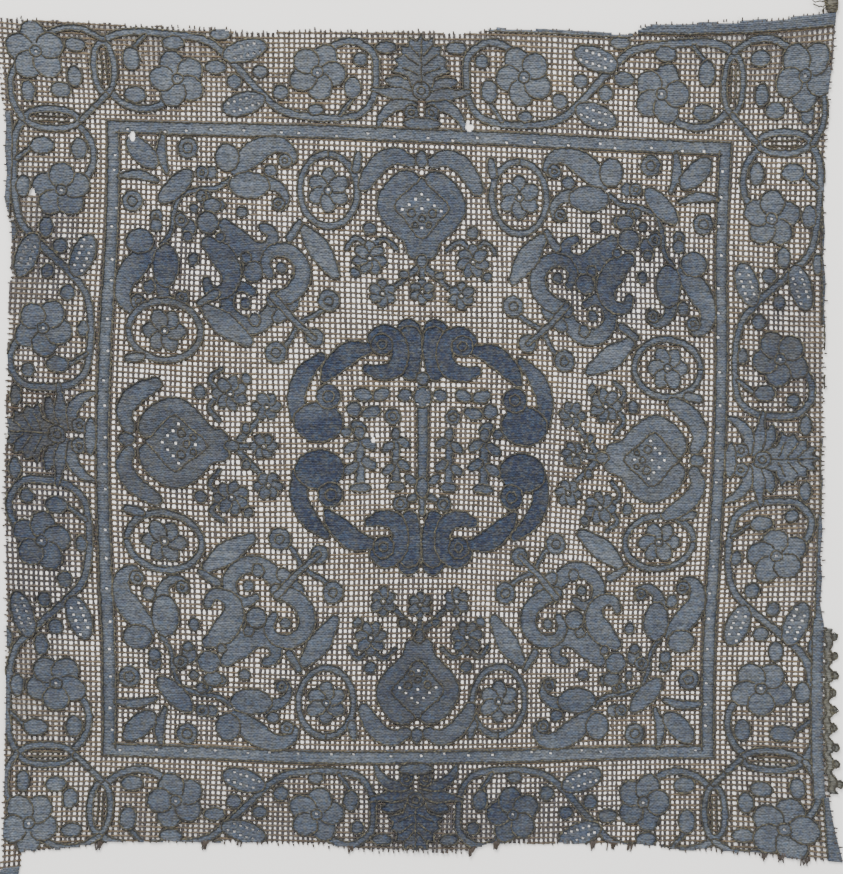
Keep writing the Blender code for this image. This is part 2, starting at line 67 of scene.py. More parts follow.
# Heights over the surface and half sizes, in metres
NET_LOW, NET_HIGH = 0.00012, 0.00090
DARN_LOW, DARN_HIGH = 0.00052, 0.00122
CORD_MIDDLE, CORD_UP, CORD_OUT = 0.00130, 0.00054, 0.00056
LOOSE_HEIGHT, LOOSE_THICK = 0.00068, 0.00058
LIFT = 0.0016             # how far the worn edges rise
TRIANGLE = [(-1, 0), (1, 0), (0, 1)]
DIAMOND = [(-1, 0), (0, -1), (1, 0), (0, 1)]
# Strands of the net. Columns: piece, order of (across, along) that gives (u, v), half width in cells at a
# crossing and between two, its unevenness, share of the height at both, how far it is raised in metres
STRANDS = (("net_upright", 1, (0.31, 0.245), 0.13, (1.0, 0.8), 0.0),
           ("net_level", -1, (0.27, 0.205), 0.14, (0.95, 0.75), 0.00008))

# How far the net has pulled out of square. Columns: u, v in cells, then the pull in x and y in mm
PULL = [(-80, 80, -4, 9), (-60, 80, -3.6, 4.6), (0, 80, 0, 2.1), (60, 80, -1.4, 2.1),
    (80, 80, 1.5, 6.5), (-80, 60, -3.4, 9.2), (-60, 60, -2.4, 6.8), (0, 60, 0, 1.4), (60, 60, -3.9, -6.4),
    (80, 60, -2.9, -5.8), (-80, 0, -3.4, 2.5), (-60, 0, -5.5, 1.9), (0, 0, 0, 0), (60, 0, -6.7, -6.9),
    (80, 0, -4.8, -8.8), (-80, -60, -4.6, 4.5), (-60, -60, -4.9, 0.8), (0, -60, -1.9, -2.4),
    (60, -60, -10.8, -0.5), (80, -60, -5.4, -3), (-80, -80, -5.9, 2.2), (-60, -80, -6.1, 4.1),
    (0, -80, -3.1, -0.9), (60, -80, -12.6, -1.5), (80, -80, -2.9, -5.2)]
PULL_KNOTS = (-80, -60, 0, 60, 80)
PULL_REACH = 84           # past this many cells the pull stays the same
# Smaller drift of the net in mm, every 20 cells. Rows go up from v = -80, columns run from u = -80
DRIFT_AT = np.arange(-80, 81, 20.0)
DRIFT_REACH = 11.0
DRIFT_X = [[0.1, -0.7, 0.1, 0.2, -0.6, -0.2, 2, 0.8, -0.1],
    [0.1, 2.7, 1.2, 0, -1.5, -0.9, -0.6, -2.9, -2.1], [-2.4, 3.2, 3, 1.2, -0.8, -1.3, -3.7, -4.1, -1],
    [-4.8, 0, 1.6, 3.9, 0.5, -2.1, -2.7, -1.4, 0.4], [-4.4, -1.7, -0.6, 3.2, 1, 0.4, 1.9, 1.2, -0.2],
    [-4.2, -0.2, -0.5, -1, 0.5, 3.1, 4.1, 2.3, -0.5], [0.5, 3.3, 0.3, -3.1, 0.8, 2.1, 1, 0.4, -0.7],
    [3.8, 2.7, -1.2, -2.4, 0.6, 2, 2.6, 2.9, -0.8], [-1.5, -0.9, -0.2, 0.4, -0.2, 0.4, 2.6, 2.9, -2.5]]
DRIFT_Y = [[-2.8, 0, -0.6, -0.1, 0.7, 0, 0.3, 2.2, 1.3],
    [-2.5, 1.1, 1.1, -1.2, -1.5, -1.6, -0.2, 0, -1.1], [-1.4, 0.4, -0.5, -3.7, -3.6, -3.7, -2.7, -1.5, 0.3],
    [2.7, 2.2, -2.5, -1.8, 1.8, -2.6, -7.6, -4, 2.2], [7.6, 3, -3.9, -2.5, 0.6, -0.9, -6.5, -4.2, 0.3],
    [6.8, 2.4, -1.8, -2.6, -3.1, 0, -0.4, 0.5, -0.6], [2.9, 2.8, -0.2, -2, -3.9, -0.4, 1.7, 2.9, -0.5],
    [-0.8, -1, -0.8, 0.2, -0.3, -0.2, -0.2, -0.6, -1.7], [0, -0.4, 0.2, -0.2, 0, 0.4, -3.8, -5.2, -4.2]]

# The worn edge. Columns: along in cells, how far the cloth reaches past the nominal edge in cells
WORN_EDGE = {
    "top": [(-80, 0), (-77, 0.6), (-73, 0.4), (-62, 0.6), (-54, 0.4), (-38, 0.2), (-34, -0.6), (-27, -0.4),
        (-22, 0.1), (-9, -0.4), (0, 0), (5, -0.6), (11, -0.6), (13, 0.5), (20, 0.2), (28, 0.7), (38, 0.3),
        (41, 0.5), (43, 2.3), (60, 2.7), (72, 2.6), (80, 3)],
    "right": [(-80, 1), (-68, 0.3), (-56, -0.2), (-30, 0.3), (0, 0), (20, -0.1), (30, 0), (35, 0.6),
        (60, 0.7), (68, 1.2), (76, 2), (80, 2.7)],
    "bottom": [(-80, 0.2), (-66, -0.5), (-55, -0.8), (-44, -2.3), (-28, -2.6), (-15, -2.8), (-10, -0.8),
        (8, -0.7), (14, -1.6), (27, -1.9), (42, -1.8), (60, -1.4), (64, -0.5), (80, 0)],
    "left": [(-80, 0), (-72, -0.1), (-60, -0.3), (-40, -0.9), (-20, -1.3), (-12, -0.7), (0, -1.4),
        (20, -1.6), (36, -1.5), (40, -0.8), (44, 0.4), (60, 1), (70, 1.5), (80, 1.4)],
}
RAGGED = ((0.20, 1.9), (0.16, 3.7))     # height and rate of the fine waves of the edge
EDGE_STEP = 5.0

TAIL = [(-79.6, -79), (-76.4, -79), (-76, -81), (-76.6, -84.8), (-80, -85.2), (-80.6, -82)]
TAIL_END = [(-76.2, -82.5), (-76.6, -84.8), (-80, -85.2), (-80.5, -82.9)]
# Broken meshes. Columns: u, v, wide, high
HOLES = [(-56.2, 58.2, 1.2, 2.4), (9.2, 61.9, 1.6, 1.8), (-9.8, 1, 1, 1.6), (-75.4, 46.6, 0.9, 2)]

# Tables of ovals hold long, wide and tilt last: without wide the oval is round, and without tilt it lies level.
# Tables of eyes hold the radius last. An eye is a small ring of cord on a darned form

# Corner of the square panel, in columns: across, out. Pairs come again over the diagonal
CORNER_OVALS = [(54.3, 55, 8.2, 4.4, 45), (47.6, 48.4, 9.4, 4, -45), (41.2, 41.6, 4.4), (32.2, 32.6, 4),
    (20.4, 20.6, 3.6), (44, 44.3, 2), (38.8, 38.9, 1.9)]
CORNER_OVAL_PAIRS = [(45.2, 56.2, 4.2), (40.6, 51.4, 2.6), (37.4, 54.5, 4.8, 5.6), (33, 49.2, 8.2, 5.2),
    (28.8, 52.2, 2.8, 2.4), (44.9, 40.4, 3, 3.6), (24.7, 26.8, 3.8, 2.6, -45), (17.6, 27.8, 4.2),
    (26, 54.2, 2.8), (27.2, 45.9, 2.5), (41.8, 46.5, 2.8), (38.7, 45.1, 2, 2.2), (34.4, 43.9, 2.6, 2.2),
    (46.8, 42.6, 2.2), (51.4, 42.4, 2.6), (35.2, 33.6, 2.2), (23.6, 31.8, 2.6, 2.2), (33.6, 26.6, 2.2)]
CORNER_EYES = [(45.2, 56.2, 1), (17.6, 27.8, 0.9), (26, 54.2, 0.6), (27.2, 45.9, 0.5),
    (41.8, 46.5, 0.6), (51.4, 42.4, 0.5)]
CORNER_DOTS = [(36.4, 50.8), (46, 52.4)]
CORNER_SCROLLS = {
    "leaflet": [(50.2, 58.8, 1), (50.5, 55, 2), (49.4, 51.2, 1)],
    "lily stem": [(47, 46.6, 1), (43.2, 48, 1), (39.6, 48.4, 1), (36.6, 50.4, 1)],
    "lily petal": [(35.4, 52.6, 3.4), (32.2, 55.4, 4.8), (28.8, 57.2, 3.6), (25.8, 56.8, 2.6),
        (24.4, 54.8, 1.7), (25.6, 53.4, 1.2)],
    "lily curl": [(30.4, 49.8, 3.4), (27.4, 49.2, 2.2), (25.8, 47.2, 1.7), (26.6, 45.2, 1.5),
        (28.2, 45.4, 1.1)],
    "scroll leaf": [(37.8, 41.2, 2.6), (35.4, 38.4, 4.8), (32, 36.4, 4), (29, 37.4, 2.8), (28.4, 40.2, 2.2),
        (30.4, 41.2, 1.8)],
    "horn": [(27.4, 28.4, 2.6), (28.6, 25.2, 3.2), (31.2, 22.8, 3.4), (34.6, 22.8, 3.2), (37, 25.4, 2.8),
        (36.6, 28.4, 2.4), (34.4, 29.8, 2), (32.2, 28.8, 1.7)],
    "bud stem": [(23, 23.6, 1), (19.6, 25.4, 1), (17.8, 27.4, 1)],
}
TREFOIL_STEM = [(28.4, 28.4, 1.4), (24.2, 23.8, 1.2), (20.4, 20.6, 1)]

RING_FLOWERS_AT = {
    "top": (-17.6, 19),
    "right": (-17.4, 16.4),
    "bottom": (-16.6, 18.4),
    "left": (-18.7, 20.8),
}
RING_OUT = 48.9
RING = (6.1, 7.5, 1.3)    # radius along, radius out, width
RING_BLOSSOM = (4.1, 6)   # radius, petals
# Leaves about the ring. Columns: away from the ring's middle, out, width
RING_LEAVES = [[(4.4, 41, 2.4), (1.6, 37.4, 4.4), (-1.2, 33, 2.2)], [(5.4, 42.6, 1.2),
    (7.4, 39.4, 1.8)], [(-5.6, 55.6, 1.6), (-5.2, 53.2, 1.8)]]

# Palmette in the middle of each side, in columns: along, out. What lies off the middle line comes in pairs
PALMETTE_HALF = [(0, 51.6), (1.6, 53.2), (4.4, 53), (7, 50.6), (8.5, 47.4), (7.9, 44.4), (5.6, 41.6),
    (3.4, 39.6), (2.8, 37.4), (1.2, 36.6), (0, 37.8)]
PALMETTE_EYE = [(0, 52.2), (1.2, 50.8), (5.2, 46.9), (3.2, 44), (0, 40.6), (-3.2, 44), (-5.2, 46.9),
    (-1.2, 50.8)]
PALMETTE_DOTS = [(0, 48.9), (-1.2, 47.9), (1.2, 47.9), (-2.4, 46.9), (2.4, 46.9), (-3.7, 45.9),
    (3.7, 45.9), (0, 46.4), (0, 42.8)]
PALMETTE_SEEDS = [(2, 45.4, 0.8), (0.01, 44.4, 0.7), (1.3, 43.2, 0.6)]
PALMETTE_OVALS = [(0, 55.6, 2.4, 3.4), (9.8, 42, 2.6, 2.4), (0, 36.2, 2.2, 2.6), (3.4, 33.6, 2, 1.6),
    (12.6, 33.4, 2.2, 1.8, 30)]
PALMETTE_SCROLLS = [[(2.2, 55, 2.4), (4.8, 56, 3.2), (7.6, 54.8, 3.6), (9.6, 52.4, 3.4),
    (10.8, 50.2, 2.6)], [(0, 35.8, 1.3), (4.6, 31.6, 1), (6.4, 30.6, 0.9)], [(0, 35.6, 1.3), (0, 33.4, 1.1),
    (0, 31.8, 1)], [(14.2, 38, 1), (12.4, 40.2, 1), (10.2, 38.6, 1)], [(9.2, 38.6, 1), (7.2, 40.3, 1),
    (4.6, 38.4, 1)]]
# Small flowers beside and under it. Columns: along, out, radius, petals
PALMETTE_FLOWERS = [(9.8, 36.4, 3.3, 7), (7.5, 29.7, 2.7, 6), (0, 30.4, 2.5, 6)]

# One quarter of the wreath, in columns: across, out
WREATH_OVALS = [(2.5, 22.5, 4.8, 5), (20.2, 4.5, 9.4, 7.6), (18.2, 9.4, 4.8), (7.7, 19.7, 4.2)]
WREATH_EYES = [(18.2, 9.4, 1.1), (7.7, 19.7, 0.9)]
WREATH_DOTS = [(6.4, 17.2), (7.5, 17), (8.6, 17.1), (16, 11.8), (17.2, 12.2), (15.6, 10.4)]
WREATH_SCROLLS = [[(19.2, 17, 1.8), (22.4, 13.8, 3.4), (24.2, 9.6, 3.4), (23.8, 5.6, 3.4)],
    [(10.4, 18.9, 2.2), (13.8, 18, 4.2), (17.4, 14.8, 3.6), (18.9, 12.7, 1.6)], [(2.3, 21.4, 4.4),
    (2.2, 17.5, 4.2), (2.4, 14.4, 3.4)], [(10.6, 14.8, 2), (8.2, 14.2, 3), (5.4, 15, 3.4), (4.3, 17.8, 3.3),
    (4.9, 20.6, 3.4), (7.2, 22, 3.4), (9.2, 20.8, 2.8)]]
# Inside the wreath: a small cross on a long stem, and plain leafy sprigs, in columns: u, v
CENTRE_OVALS = [(0, 13.2, 2.6), (0, 9.4, 3.6, 4.2), (3.4, 9.8, 3, 2.6), (8, 9.9, 3.6, 2.4, -25),
    (11.6, 9.8, 3.8, 2.6, 15), (13.4, 7, 3), (10, 6.4, 4, 2.4, -15), (5.9, 5.6, 3.2),
    (12.6, 3.6, 3.4, 2.2, 30), (15, 2.6, 2.4, 2), (10.6, 0.2, 3.6, 2, 35), (14.2, -0.4, 3.6, 2, -35),
    (10.6, -3.6, 3.6, 2, 35), (14.2, -4.4, 3.6, 2, -35), (12.4, -8.2, 4.6, 1.8), (12.4, 2.4, 2.2, 2.6),
    (3.7, 0.4, 3, 1.8, 35), (6.9, -0.4, 3, 1.8, -35), (3.7, -4, 3, 1.8, 35), (6.9, -4.8, 3, 1.8, -35),
    (5.3, 2.2, 1.8, 2.4), (5.3, -8.2, 3.8, 1.8), (0, -8.4, 2.6, 4), (2.4, -6.8, 3, 1.7, 35),
    (4.4, -11.4, 3.2, 3), (2, -10.4, 2.4, 1.6, -20)]
CENTRE_EYES = [(5.9, 5.6, 0.8), (4.4, -11.4, 0.8)]
CENTRE_DOTS = [(1, 10.9), (1, 7.9), (2.4, 9.4)]
CENTRE_SCROLLS = [[(0, 13.4, 2), (0, 5, 2.2), (0, -4.6, 2), (0, -13.4, 1.2)], [(12.4, 2, 1.8),
    (12.4, -3, 1.7), (12.4, -8, 1.8)], [(5.3, 2, 1.7), (5.3, -3, 1.6), (5.3, -8, 1.7)]]

# One half of a border side, from its middle to the corner, in columns: along, out from the band
DOTTED_LEAVES = [(34.2, 5.2, 8.6, 4.6, 163), (34, 15.8, 9, 4.4, 163)]
BORDER_OVALS = [(55.8, 13.8, 3.4, 4.8), (47.6, 17.2, 4.4, 2.8), (39.6, 12.4, 4.2, 2.8),
    (55.4, 6.6, 4.4, 3.2), (31, 11.6, 3, 2.6), (27, 7.6, 3.2, 3), (13.2, 8.8, 3.2, 4.4), (11.8, 14.4, 2.8),
    (6.8, 16.8, 4.2, 2.4), (38.6, 19, 4, 2.2), (36, 9.6, 3), (20.2, 4.3, 3.2, 2.2)]
BORDER_STEMS = [[(53, 18.6), (55.4, 16)], [(13.4, 6.4), (15.6, 3.4)]]
BORDER_FLOWERS = [(20, 11.8, 5.5, 5, 0.45), (47, 9.9, 5.5, 5, -0.3)]
VINE_WIDE, STEM_WIDE = 1.4, 0.9
VINE = [(61, 17.4), (57.5, 19), (53, 19.3), (45, 18.6), (41, 17.6), (38.4, 15.6), (35, 12), (31, 7.6),
    (27, 4.2), (22, 2.9), (16, 2.8), (11.6, 3.8), (9.2, 7), (8.7, 11), (9, 15), (11.4, 17.4), (14, 18),
    (17, 17), (19, 14.8)]
VINE_BRANCH = [(60.6, 7.2), (57.8, 4.8), (54.2, 3.8), (50.6, 4.6), (47.8, 7.2)]
# Carnation in the middle of a border side, with half the outline of its plume
PLUME_HALF = [(0, 19.6), (0.9, 17.9), (2.3, 19), (2.5, 17), (4, 17.2), (3.7, 15.4), (5.2, 14.6),
    (4.5, 13.3), (5.9, 12.2), (4.2, 11.8), (2.6, 11.2), (1.8, 8.8), (0, 8)]
PLUME_VEINS = [[(0.01, 10), (0.01, 18.4)], [(0.5, 11.6), (3.6, 13)], [(0.5, 13.4), (3.2, 15.4)],
    [(0.4, 15.2), (2.2, 17.2)]]
CARNATION_OVALS = [(0, 8.6, 3.4), (1.9, 4.4, 2.9), (0, 2.3, 7.4, 2.3)]
CARNATION_EYES = [(0.01, 8.6, 0.8), (1.9, 4.4, 0.6)]
CARNATION_LEAVES = [[(1.4, 8.2, 2), (4.2, 9.8, 2.8), (6.4, 10.4, 1.4)], [(1.4, 7.2, 1.8),
    (4.6, 7.9, 2.6), (7.4, 8.2, 1.4), (9.4, 8.6, 0.9)], [(1.6, 5.8, 1.6), (5, 5.6, 2.4), (7.4, 3.6, 1.8),
    (8.2, 1.6, 0.9)]]

# Border corner, in columns: across, out. All but the flowers come again over the diagonal
BORDER_CORNER_OVALS = [(66.4, 76.2, 4.2, 2.8), (67, 69.8, 3, 4.2)]
BORDER_CORNER_FLOWERS = [(75.5, 72.9, 5.9, 5, 3.14), (-74.2, 74.4, 5.8, 5, 0.1),
    (-74.8, -74.5, 5.8, 5, 3.14), (73.6, -74.6, 6, 5, -0.3)]
LINK = (61.2, 71.8, 2.6, 5.8, 1.3)
LINK_CORDS = [(-0.45, 3.2), (0.45, 3.2)]    # across from its middle, half length
BORDER_CORNER_SCROLLS = [[(61, 77.6, 1.2), (64.6, 79.4, 1.2), (68.8, 79.4, 1.2), (72.6, 77.4, 1.2)],
    [(61.2, 66.2, 1.2), (63.6, 63.8, 1.2)]]

# What is left of a band along the worn edges. Columns: side, from, to, near, far
OUTER_BAND_RUNS = [("top", 12, 41, 80, 82), ("top", 42, 84, 80.7, 86), ("right", -52, -27, 79.8, 83),
    ("right", -27, -4, 80.2, 83), ("right", -4, 12, 79.6, 83), ("right", 12, 33, 79, 83),
    ("right", 33, 68, 78.7, 80.7), ("right", 68, 84, 80.3, 85), ("left", 41, 62, 79.6, 84)]

# Scalloped edging along the right side, in cells
EDGING_FROM, EDGING_TO, EDGING_PITCH = 35, 67.0, 3.5
# Scrap of edging. Points in mm from the top right corner of the cloth
SCRAP_OUTLINE = [(0.4, 0.2), (-5, 0.2), (-7, 1.8), (-6, 3.8), (-7.8, 6.2), (-6, 9.2), (0.2, 9.6), (0.9, 5)]
SCRAP_THREADS = [[(-5, 4.6), (-9, 3.2), (-12.2, 3.6), (-14.6, 4.8)], [(-5.4, 5.6), (-9.6, 6.6),
    (-12.4, 6.2), (-15.6, 7)], [(-5.4, 6.6), (-9, 8.6), (-11.4, 9.6)], [(-4, 8.4), (-6.8, 9.6),
    (-9.6, 9.8)], [(-5, 3), (-7.8, 1.6), (-9.2, -0.4)]]
SCRAP_BANDS = [[(-6.2, 4.4), (-3, 4), (0.6, 4.6)], [(-6, 8.6), (-2.6, 9.2), (0.2, 8.8)], [(-6.4, 1.8),
    (-3, 2.2), (0.4, 1.4)]]
# Tufts under the lower edge. Columns: along in cells, how many threads
TUFTS = [(60.6, 9), (41.2, 12), (34.8, 4), (12.9, 7), (-11.4, 10), (-17, 14), (-36.8, 12), (-40.8, 7),
    (-44.4, 8), (-70, 8), (-73, 7), (-77, 6)]

# How deep the blue is in each group of motifs, from 0 pale to 1 deep
DEPTH = {"band": 0.18, "outer": 0.3, "corner": 0.3, "ring": 0.15, "palmette": 0.35, "wreath": 1.0,
         "centre": 0.45, "border": 0.22, "border corner": 0.15}
LINE_DEPTH = 0.4
# Places where the blue is deeper or the silk is stained. Columns: u, v, reach in u, reach in v, deeper, stain
ZONES = [(-42, 33, 17, 11, 0.52, 0.1), (40, 34, 17, 11, 0.6, 0.1), (1.5, -44, 12, 20, 0.15, 0.25),
    (0, -70, 8, 10, 0.42, 0.1), (12, -70, 22, 9, 0.25, 0.05), (-73, 3, 8, 9, 0.2, 0.4),
    (72, 17, 9, 12, 0.35, 0.25), (-48, -6, 14, 18, 0.28, 0.32), (47, -2, 12, 9, -0.1, 0.2),
    (-46, 19, 10, 9, 0.1, 0.4), (-72, 36, 8, 10, 0.4, 0.1), (72, 30, 8, 9, 0.3, 0.25),
    (0, 70, 9, 9, 0.25, 0.3), (-22, 10, 6, 5, -0.35, 0), (22, 12, 6, 6, -0.4, 0),
    (-72, -28, 8, 9, 0.25, 0.1), (72, -58, 9, 12, 0.15, 0.1), (-50, -50, 12, 12, 0.2, 0.05),
    (20, 3, 8, 13, 0.25, 0), (0, -72, 60, 10, 0.32, 0.1), (-73, -12, 9, 42, 0.45, 0.12),
    (-30, 72, 40, 9, -0.12, 0), (-32, 56, 8, 8, -0.2, 0), (30, 72, 12, 9, -0.1, 0),
    (2, -43, 52, 14, 0.22, 0.05), (0, 45, 12, 12, 0.18, 0.05), (19, 72, 8, 8, -0.25, 0)]


# Lines and outlines in cells

def resample(line, step):
    gaps = np.linalg.norm(np.diff(line[:, :2], axis=0), axis=1)
    at = np.concatenate(([0.0], np.cumsum(gaps)))
    want = np.linspace(0, at[-1], max(3, int(round(at[-1] / step)) + 1))
    return columns([np.interp(want, at, column) for column in line.T])


def close_up(loop):
    """A closed loop with even stations, its first point not repeated."""
    return resample(np.vstack((loop, loop[:1])), STEP)[:-1]


def curve(before, start, end, after, count):
    """Points of a smooth curve from start up to end."""
    return [0.5 * (2 * start + (end - before) * t
                   + (2 * before - 5 * start + 4 * end - after) * t ** 2
                   + (3 * start - before - 3 * end + after) * t ** 3) for t in np.arange(count) / count]


def smooth_line(rows):
    rows = np.array(rows, dtype=float)
    ends = np.vstack((2 * rows[0] - rows[1], rows, 2 * rows[-1] - rows[-2]))
    points = [curve(*four, 10) for four in zip(ends, ends[1:], ends[2:], ends[3:])]
    return np.vstack(points + [rows[-1:]])


def smooth_loop(corners):
    corners = np.array(corners, dtype=float)
    return close_up(np.vstack([curve(*four, 8) for four in
                               zip(*(np.roll(corners, shift, axis=0) for shift in (1, 0, -1, -2)))]))


def turned(u, v, along, across, tilt):
    """Points turned by tilt degrees and moved to (u, v)."""
    turn = math.radians(tilt)
    return columns((u + along * math.cos(turn) - across * math.sin(turn),
                    v + along * math.sin(turn) + across * math.cos(turn)))


def oval(u, v, long, wide=None, tilt=0):
    angles = np.linspace(0, 2 * math.pi, 48, endpoint=False)
    return close_up(turned(u, v, 0.5 * long * np.cos(angles), 0.5 * (wide or long) * np.sin(angles), tilt))


def scroll(rows):
    """A stem, leaf or scroll with round ends. Columns of rows: u, v, width."""
    line = resample(smooth_line(rows), FINE_STEP)
    heading = np.gradient(line[:, :2], axis=0)
    heading /= np.linalg.norm(heading, axis=1)[:, None]
    square = columns((-heading[:, 1], heading[:, 0]))
    half = line[:, 2:3] / 2
    bends = np.linspace(0, math.pi, 7)[1:-1, None]
    tip = line[-1, :2] + half[-1] * (square[-1] * np.cos(bends) + heading[-1] * np.sin(bends))
    root = line[0, :2] - half[0] * (square[0] * np.cos(bends) + heading[0] * np.sin(bends))
    return close_up(np.vstack((line[:, :2] + square * half, tip, (line[:, :2] - square * half)[::-1], root)))


def strip(rows, width):
    return scroll([(a, b, width) for a, b in rows])


def ring(u, v, radius_u, radius_v, width):
    """A ring as one loop, cut open at its top."""
    angles = np.linspace(0, 2 * math.pi, 60)
    outside, within = (columns((u + (radius_u - inset) * np.sin(angles), v + (radius_v - inset) * np.cos(angles)))
                       for inset in (0, width))
    return np.vstack((outside, within[::-1]))


def circle(u, v, radius):
    angles = np.linspace(0, 2 * math.pi, max(8, int(2 * math.pi * radius / FINE_STEP)))
    return columns((u + radius * np.cos(angles), v + radius * np.sin(angles)))


def mirrored_loop(half):
    return close_up(np.vstack((half, half[-2:0:-1] * (-1, 1))))


def ovals(rows):
    return [oval(*row) for row in rows]


def circles(rows):
    return [circle(*row) for row in rows]


class Motif:
    """Darned loops with a cord round each, lines that are cord alone, open dots, and loops laid under the
    others, all in cells."""

    def __init__(self, loops=(), lines=(), dots=(), rings=()):
        self.loops, self.lines, self.dots, self.rings = map(list, (loops, lines, dots, rings))

    def parts(self):
        return self.loops, self.lines, self.dots, self.rings

    def __add__(self, other):
        return Motif(*(mine + theirs for mine, theirs in zip(self.parts(), other.parts())))

    def changed(self, change):
        return Motif(*([change(x) for x in part] for part in self.parts()))


def in_four_corners(motif):
    flips = ((1, 1), (1, -1), (-1, 1), (-1, -1))
    return sum((motif.changed(lambda x: x * flip) for flip in flips), Motif())


def over_diagonal(motif):
    return motif + motif.changed(lambda x: x[:, ::-1])


TURNS = {"top": lambda x: x, "right": lambda x: columns((x[:, 1], -x[:, 0])),
         "bottom": lambda x: -x, "left": lambda x: columns((-x[:, 1], x[:, 0]))}


def on_sides(motif):
    return sum((motif.changed(TURNS[side]) for side in SIDES), Motif())


def both_halves(motif):
    """The motif and its mirror image, save the parts that lie on the middle line."""
    pairs = Motif(*([x for x in part if abs(x[:, 0].mean()) > 0.1] for part in motif.parts()))
    return pairs.changed(lambda x: x * (-1, 1)) + motif


def blossom(u, v, radius, petals=5, turn=0.0):
    """A round flower of separate petals about a small eye."""
    reach = 0.55 * radius
    wide = 2 * math.sin(math.pi / petals) * reach * 1.38
    motif = Motif(dots=[np.array([(u, v)])])
    for k in range(petals):
        angle = math.pi / 2 + turn + k * 2 * math.pi / petals
        long = 0.96 * radius * (1 + 0.06 * math.cos(2.4 * k))
        motif.loops.append(oval(u + reach * math.cos(angle), v + reach * math.sin(angle), long, wide,
                                math.degrees(angle)))
    motif.loops.append(oval(u, v, 0.40 * radius))
    return motif


def blossoms(rows):
    return sum((blossom(*row) for row in rows), Motif())


def dotted_leaf(u, v, long, wide, tilt):
    """An oval leaf with open dots in staggered rows."""
    dots = np.array([(a + 0.35 * b, 0.85 * b) for a in np.arange(-2.5, 2.6, 1.25) for b in (-1, 1)])
    return Motif([oval(u, v, long, wide, tilt)], dots=[turned(u, v, dots[:, 0], dots[:, 1], tilt)])


# Groups of motifs

def corner_spray():
    once = Motif(ovals(CORNER_OVALS) + [scroll(TREFOIL_STEM)])
    twice = Motif([scroll(rows) for rows in CORNER_SCROLLS.values()] + ovals(CORNER_OVAL_PAIRS),
                  circles(CORNER_EYES), [np.array([dot]) for dot in CORNER_DOTS])
    return in_four_corners(over_diagonal(twice) + once)


def ring_flowers():
    total = Motif()
    for side in SIDES:
        for middle in RING_FLOWERS_AT[side]:
            away = math.copysign(1.0, middle)
            flower = blossom(middle, RING_OUT, *RING_BLOSSOM)
            flower.rings.append(ring(middle, RING_OUT, *RING))
            for rows in RING_LEAVES:
                flower.loops.append(scroll([(middle + away * off, out, width) for off, out, width in rows]))
            total += flower.changed(TURNS[side])
    return total


def palmettes():
    heart = mirrored_loop(smooth_line(PALMETTE_HALF))
    motif = Motif([scroll(rows) for rows in PALMETTE_SCROLLS] + [heart] + ovals(PALMETTE_OVALS))
    motif += blossoms(PALMETTE_FLOWERS)
    motif += Motif([smooth_loop(PALMETTE_EYE)], circles(PALMETTE_SEEDS), [np.array(PALMETTE_DOTS)])
    return on_sides(both_halves(motif))


def wreath():
    loops = ovals(WREATH_OVALS[:1]) + [scroll(rows) for rows in WREATH_SCROLLS] + ovals(WREATH_OVALS[1:])
    return in_four_corners(Motif(loops, circles(WREATH_EYES), [np.array(WREATH_DOTS)]))


def wreath_centre():
    loops = [scroll(rows) for rows in CENTRE_SCROLLS] + ovals(CENTRE_OVALS)
    return both_halves(Motif(loops, circles(CENTRE_EYES), [np.array(CENTRE_DOTS)]))


def outwards(rows):
    return [(row[0], BAND_AT + row[1]) + tuple(row[2:]) for row in rows]


def border():
    half = Motif([strip(outwards(rows), VINE_WIDE) for rows in (VINE, VINE_BRANCH)]
                 + [strip(outwards(rows), STEM_WIDE) for rows in BORDER_STEMS] + ovals(outwards(BORDER_OVALS)))
    for row in outwards(DOTTED_LEAVES):
        half += dotted_leaf(*row)
    half += blossoms(outwards(BORDER_FLOWERS))
    half.loops += [scroll(outwards(rows)) for rows in CARNATION_LEAVES]
    half.loops.append(mirrored_loop(np.array(outwards(PLUME_HALF), dtype=float)))
    half.loops += ovals(outwards(CARNATION_OVALS))
    half.lines += circles(outwards(CARNATION_EYES)) + [np.array(outwards(rows)) for rows in PLUME_VEINS]
    return on_sides(both_halves(half))


def border_corners():
    across, out = LINK[:2]
    cords = [np.array([(across + off, out - half), (across + off, out + half)]) for off, half in LINK_CORDS]
    twice = Motif([scroll(rows) for rows in BORDER_CORNER_SCROLLS] + ovals(BORDER_CORNER_OVALS), cords,
                  rings=[ring(*LINK)])
    return in_four_corners(over_diagonal(twice)) + blossoms(BORDER_CORNER_FLOWERS)


def band(side, start, end, near, far):
    """A straight band on one side of the veil, and the lines along it."""
    stations = np.linspace(start, end, int(abs(end - start) / STEP))
    inner, outer = (columns((stations, np.full(len(stations), out))) for out in (near, far))
    return [TURNS[side](line) for line in (np.vstack((outer, inner[::-1])), inner, outer)]


def bands():
    motif = Motif()
    for side in SIDES:
        loop, inner, outer = band(side, -BAND_FAR, BAND_FAR, BAND_NEAR, BAND_FAR)
        stations = np.arange(-56, 57, 5.6)
        stations = stations + RNG.normal(0, 1.0, len(stations))
        dots = columns((stations, BAND_NEAR + RNG.uniform(0.5, 1.3, len(stations))))
        motif += Motif([], [outer, inner[3:-3]], [TURNS[side](dots)], [loop])
    return motif


def outer_bands():
    runs = [band(*row) for row in OUTER_BAND_RUNS]
    return Motif(lines=[inner for _, inner, _ in runs], rings=[loop for loop, _, _ in runs])


# From cells to metres

def basis(position, knot):
    """1 at its own knot and 0 at the others."""
    value = np.ones_like(position)
    for other in PULL_KNOTS:
        if other != knot:
            value = value * (position - other) / (knot - other)
    return value


def nearness(position):
    weight = np.exp(-0.5 * ((position[:, None] - DRIFT_AT) / DRIFT_REACH) ** 2)
    return weight / weight.sum(axis=1)[:, None]


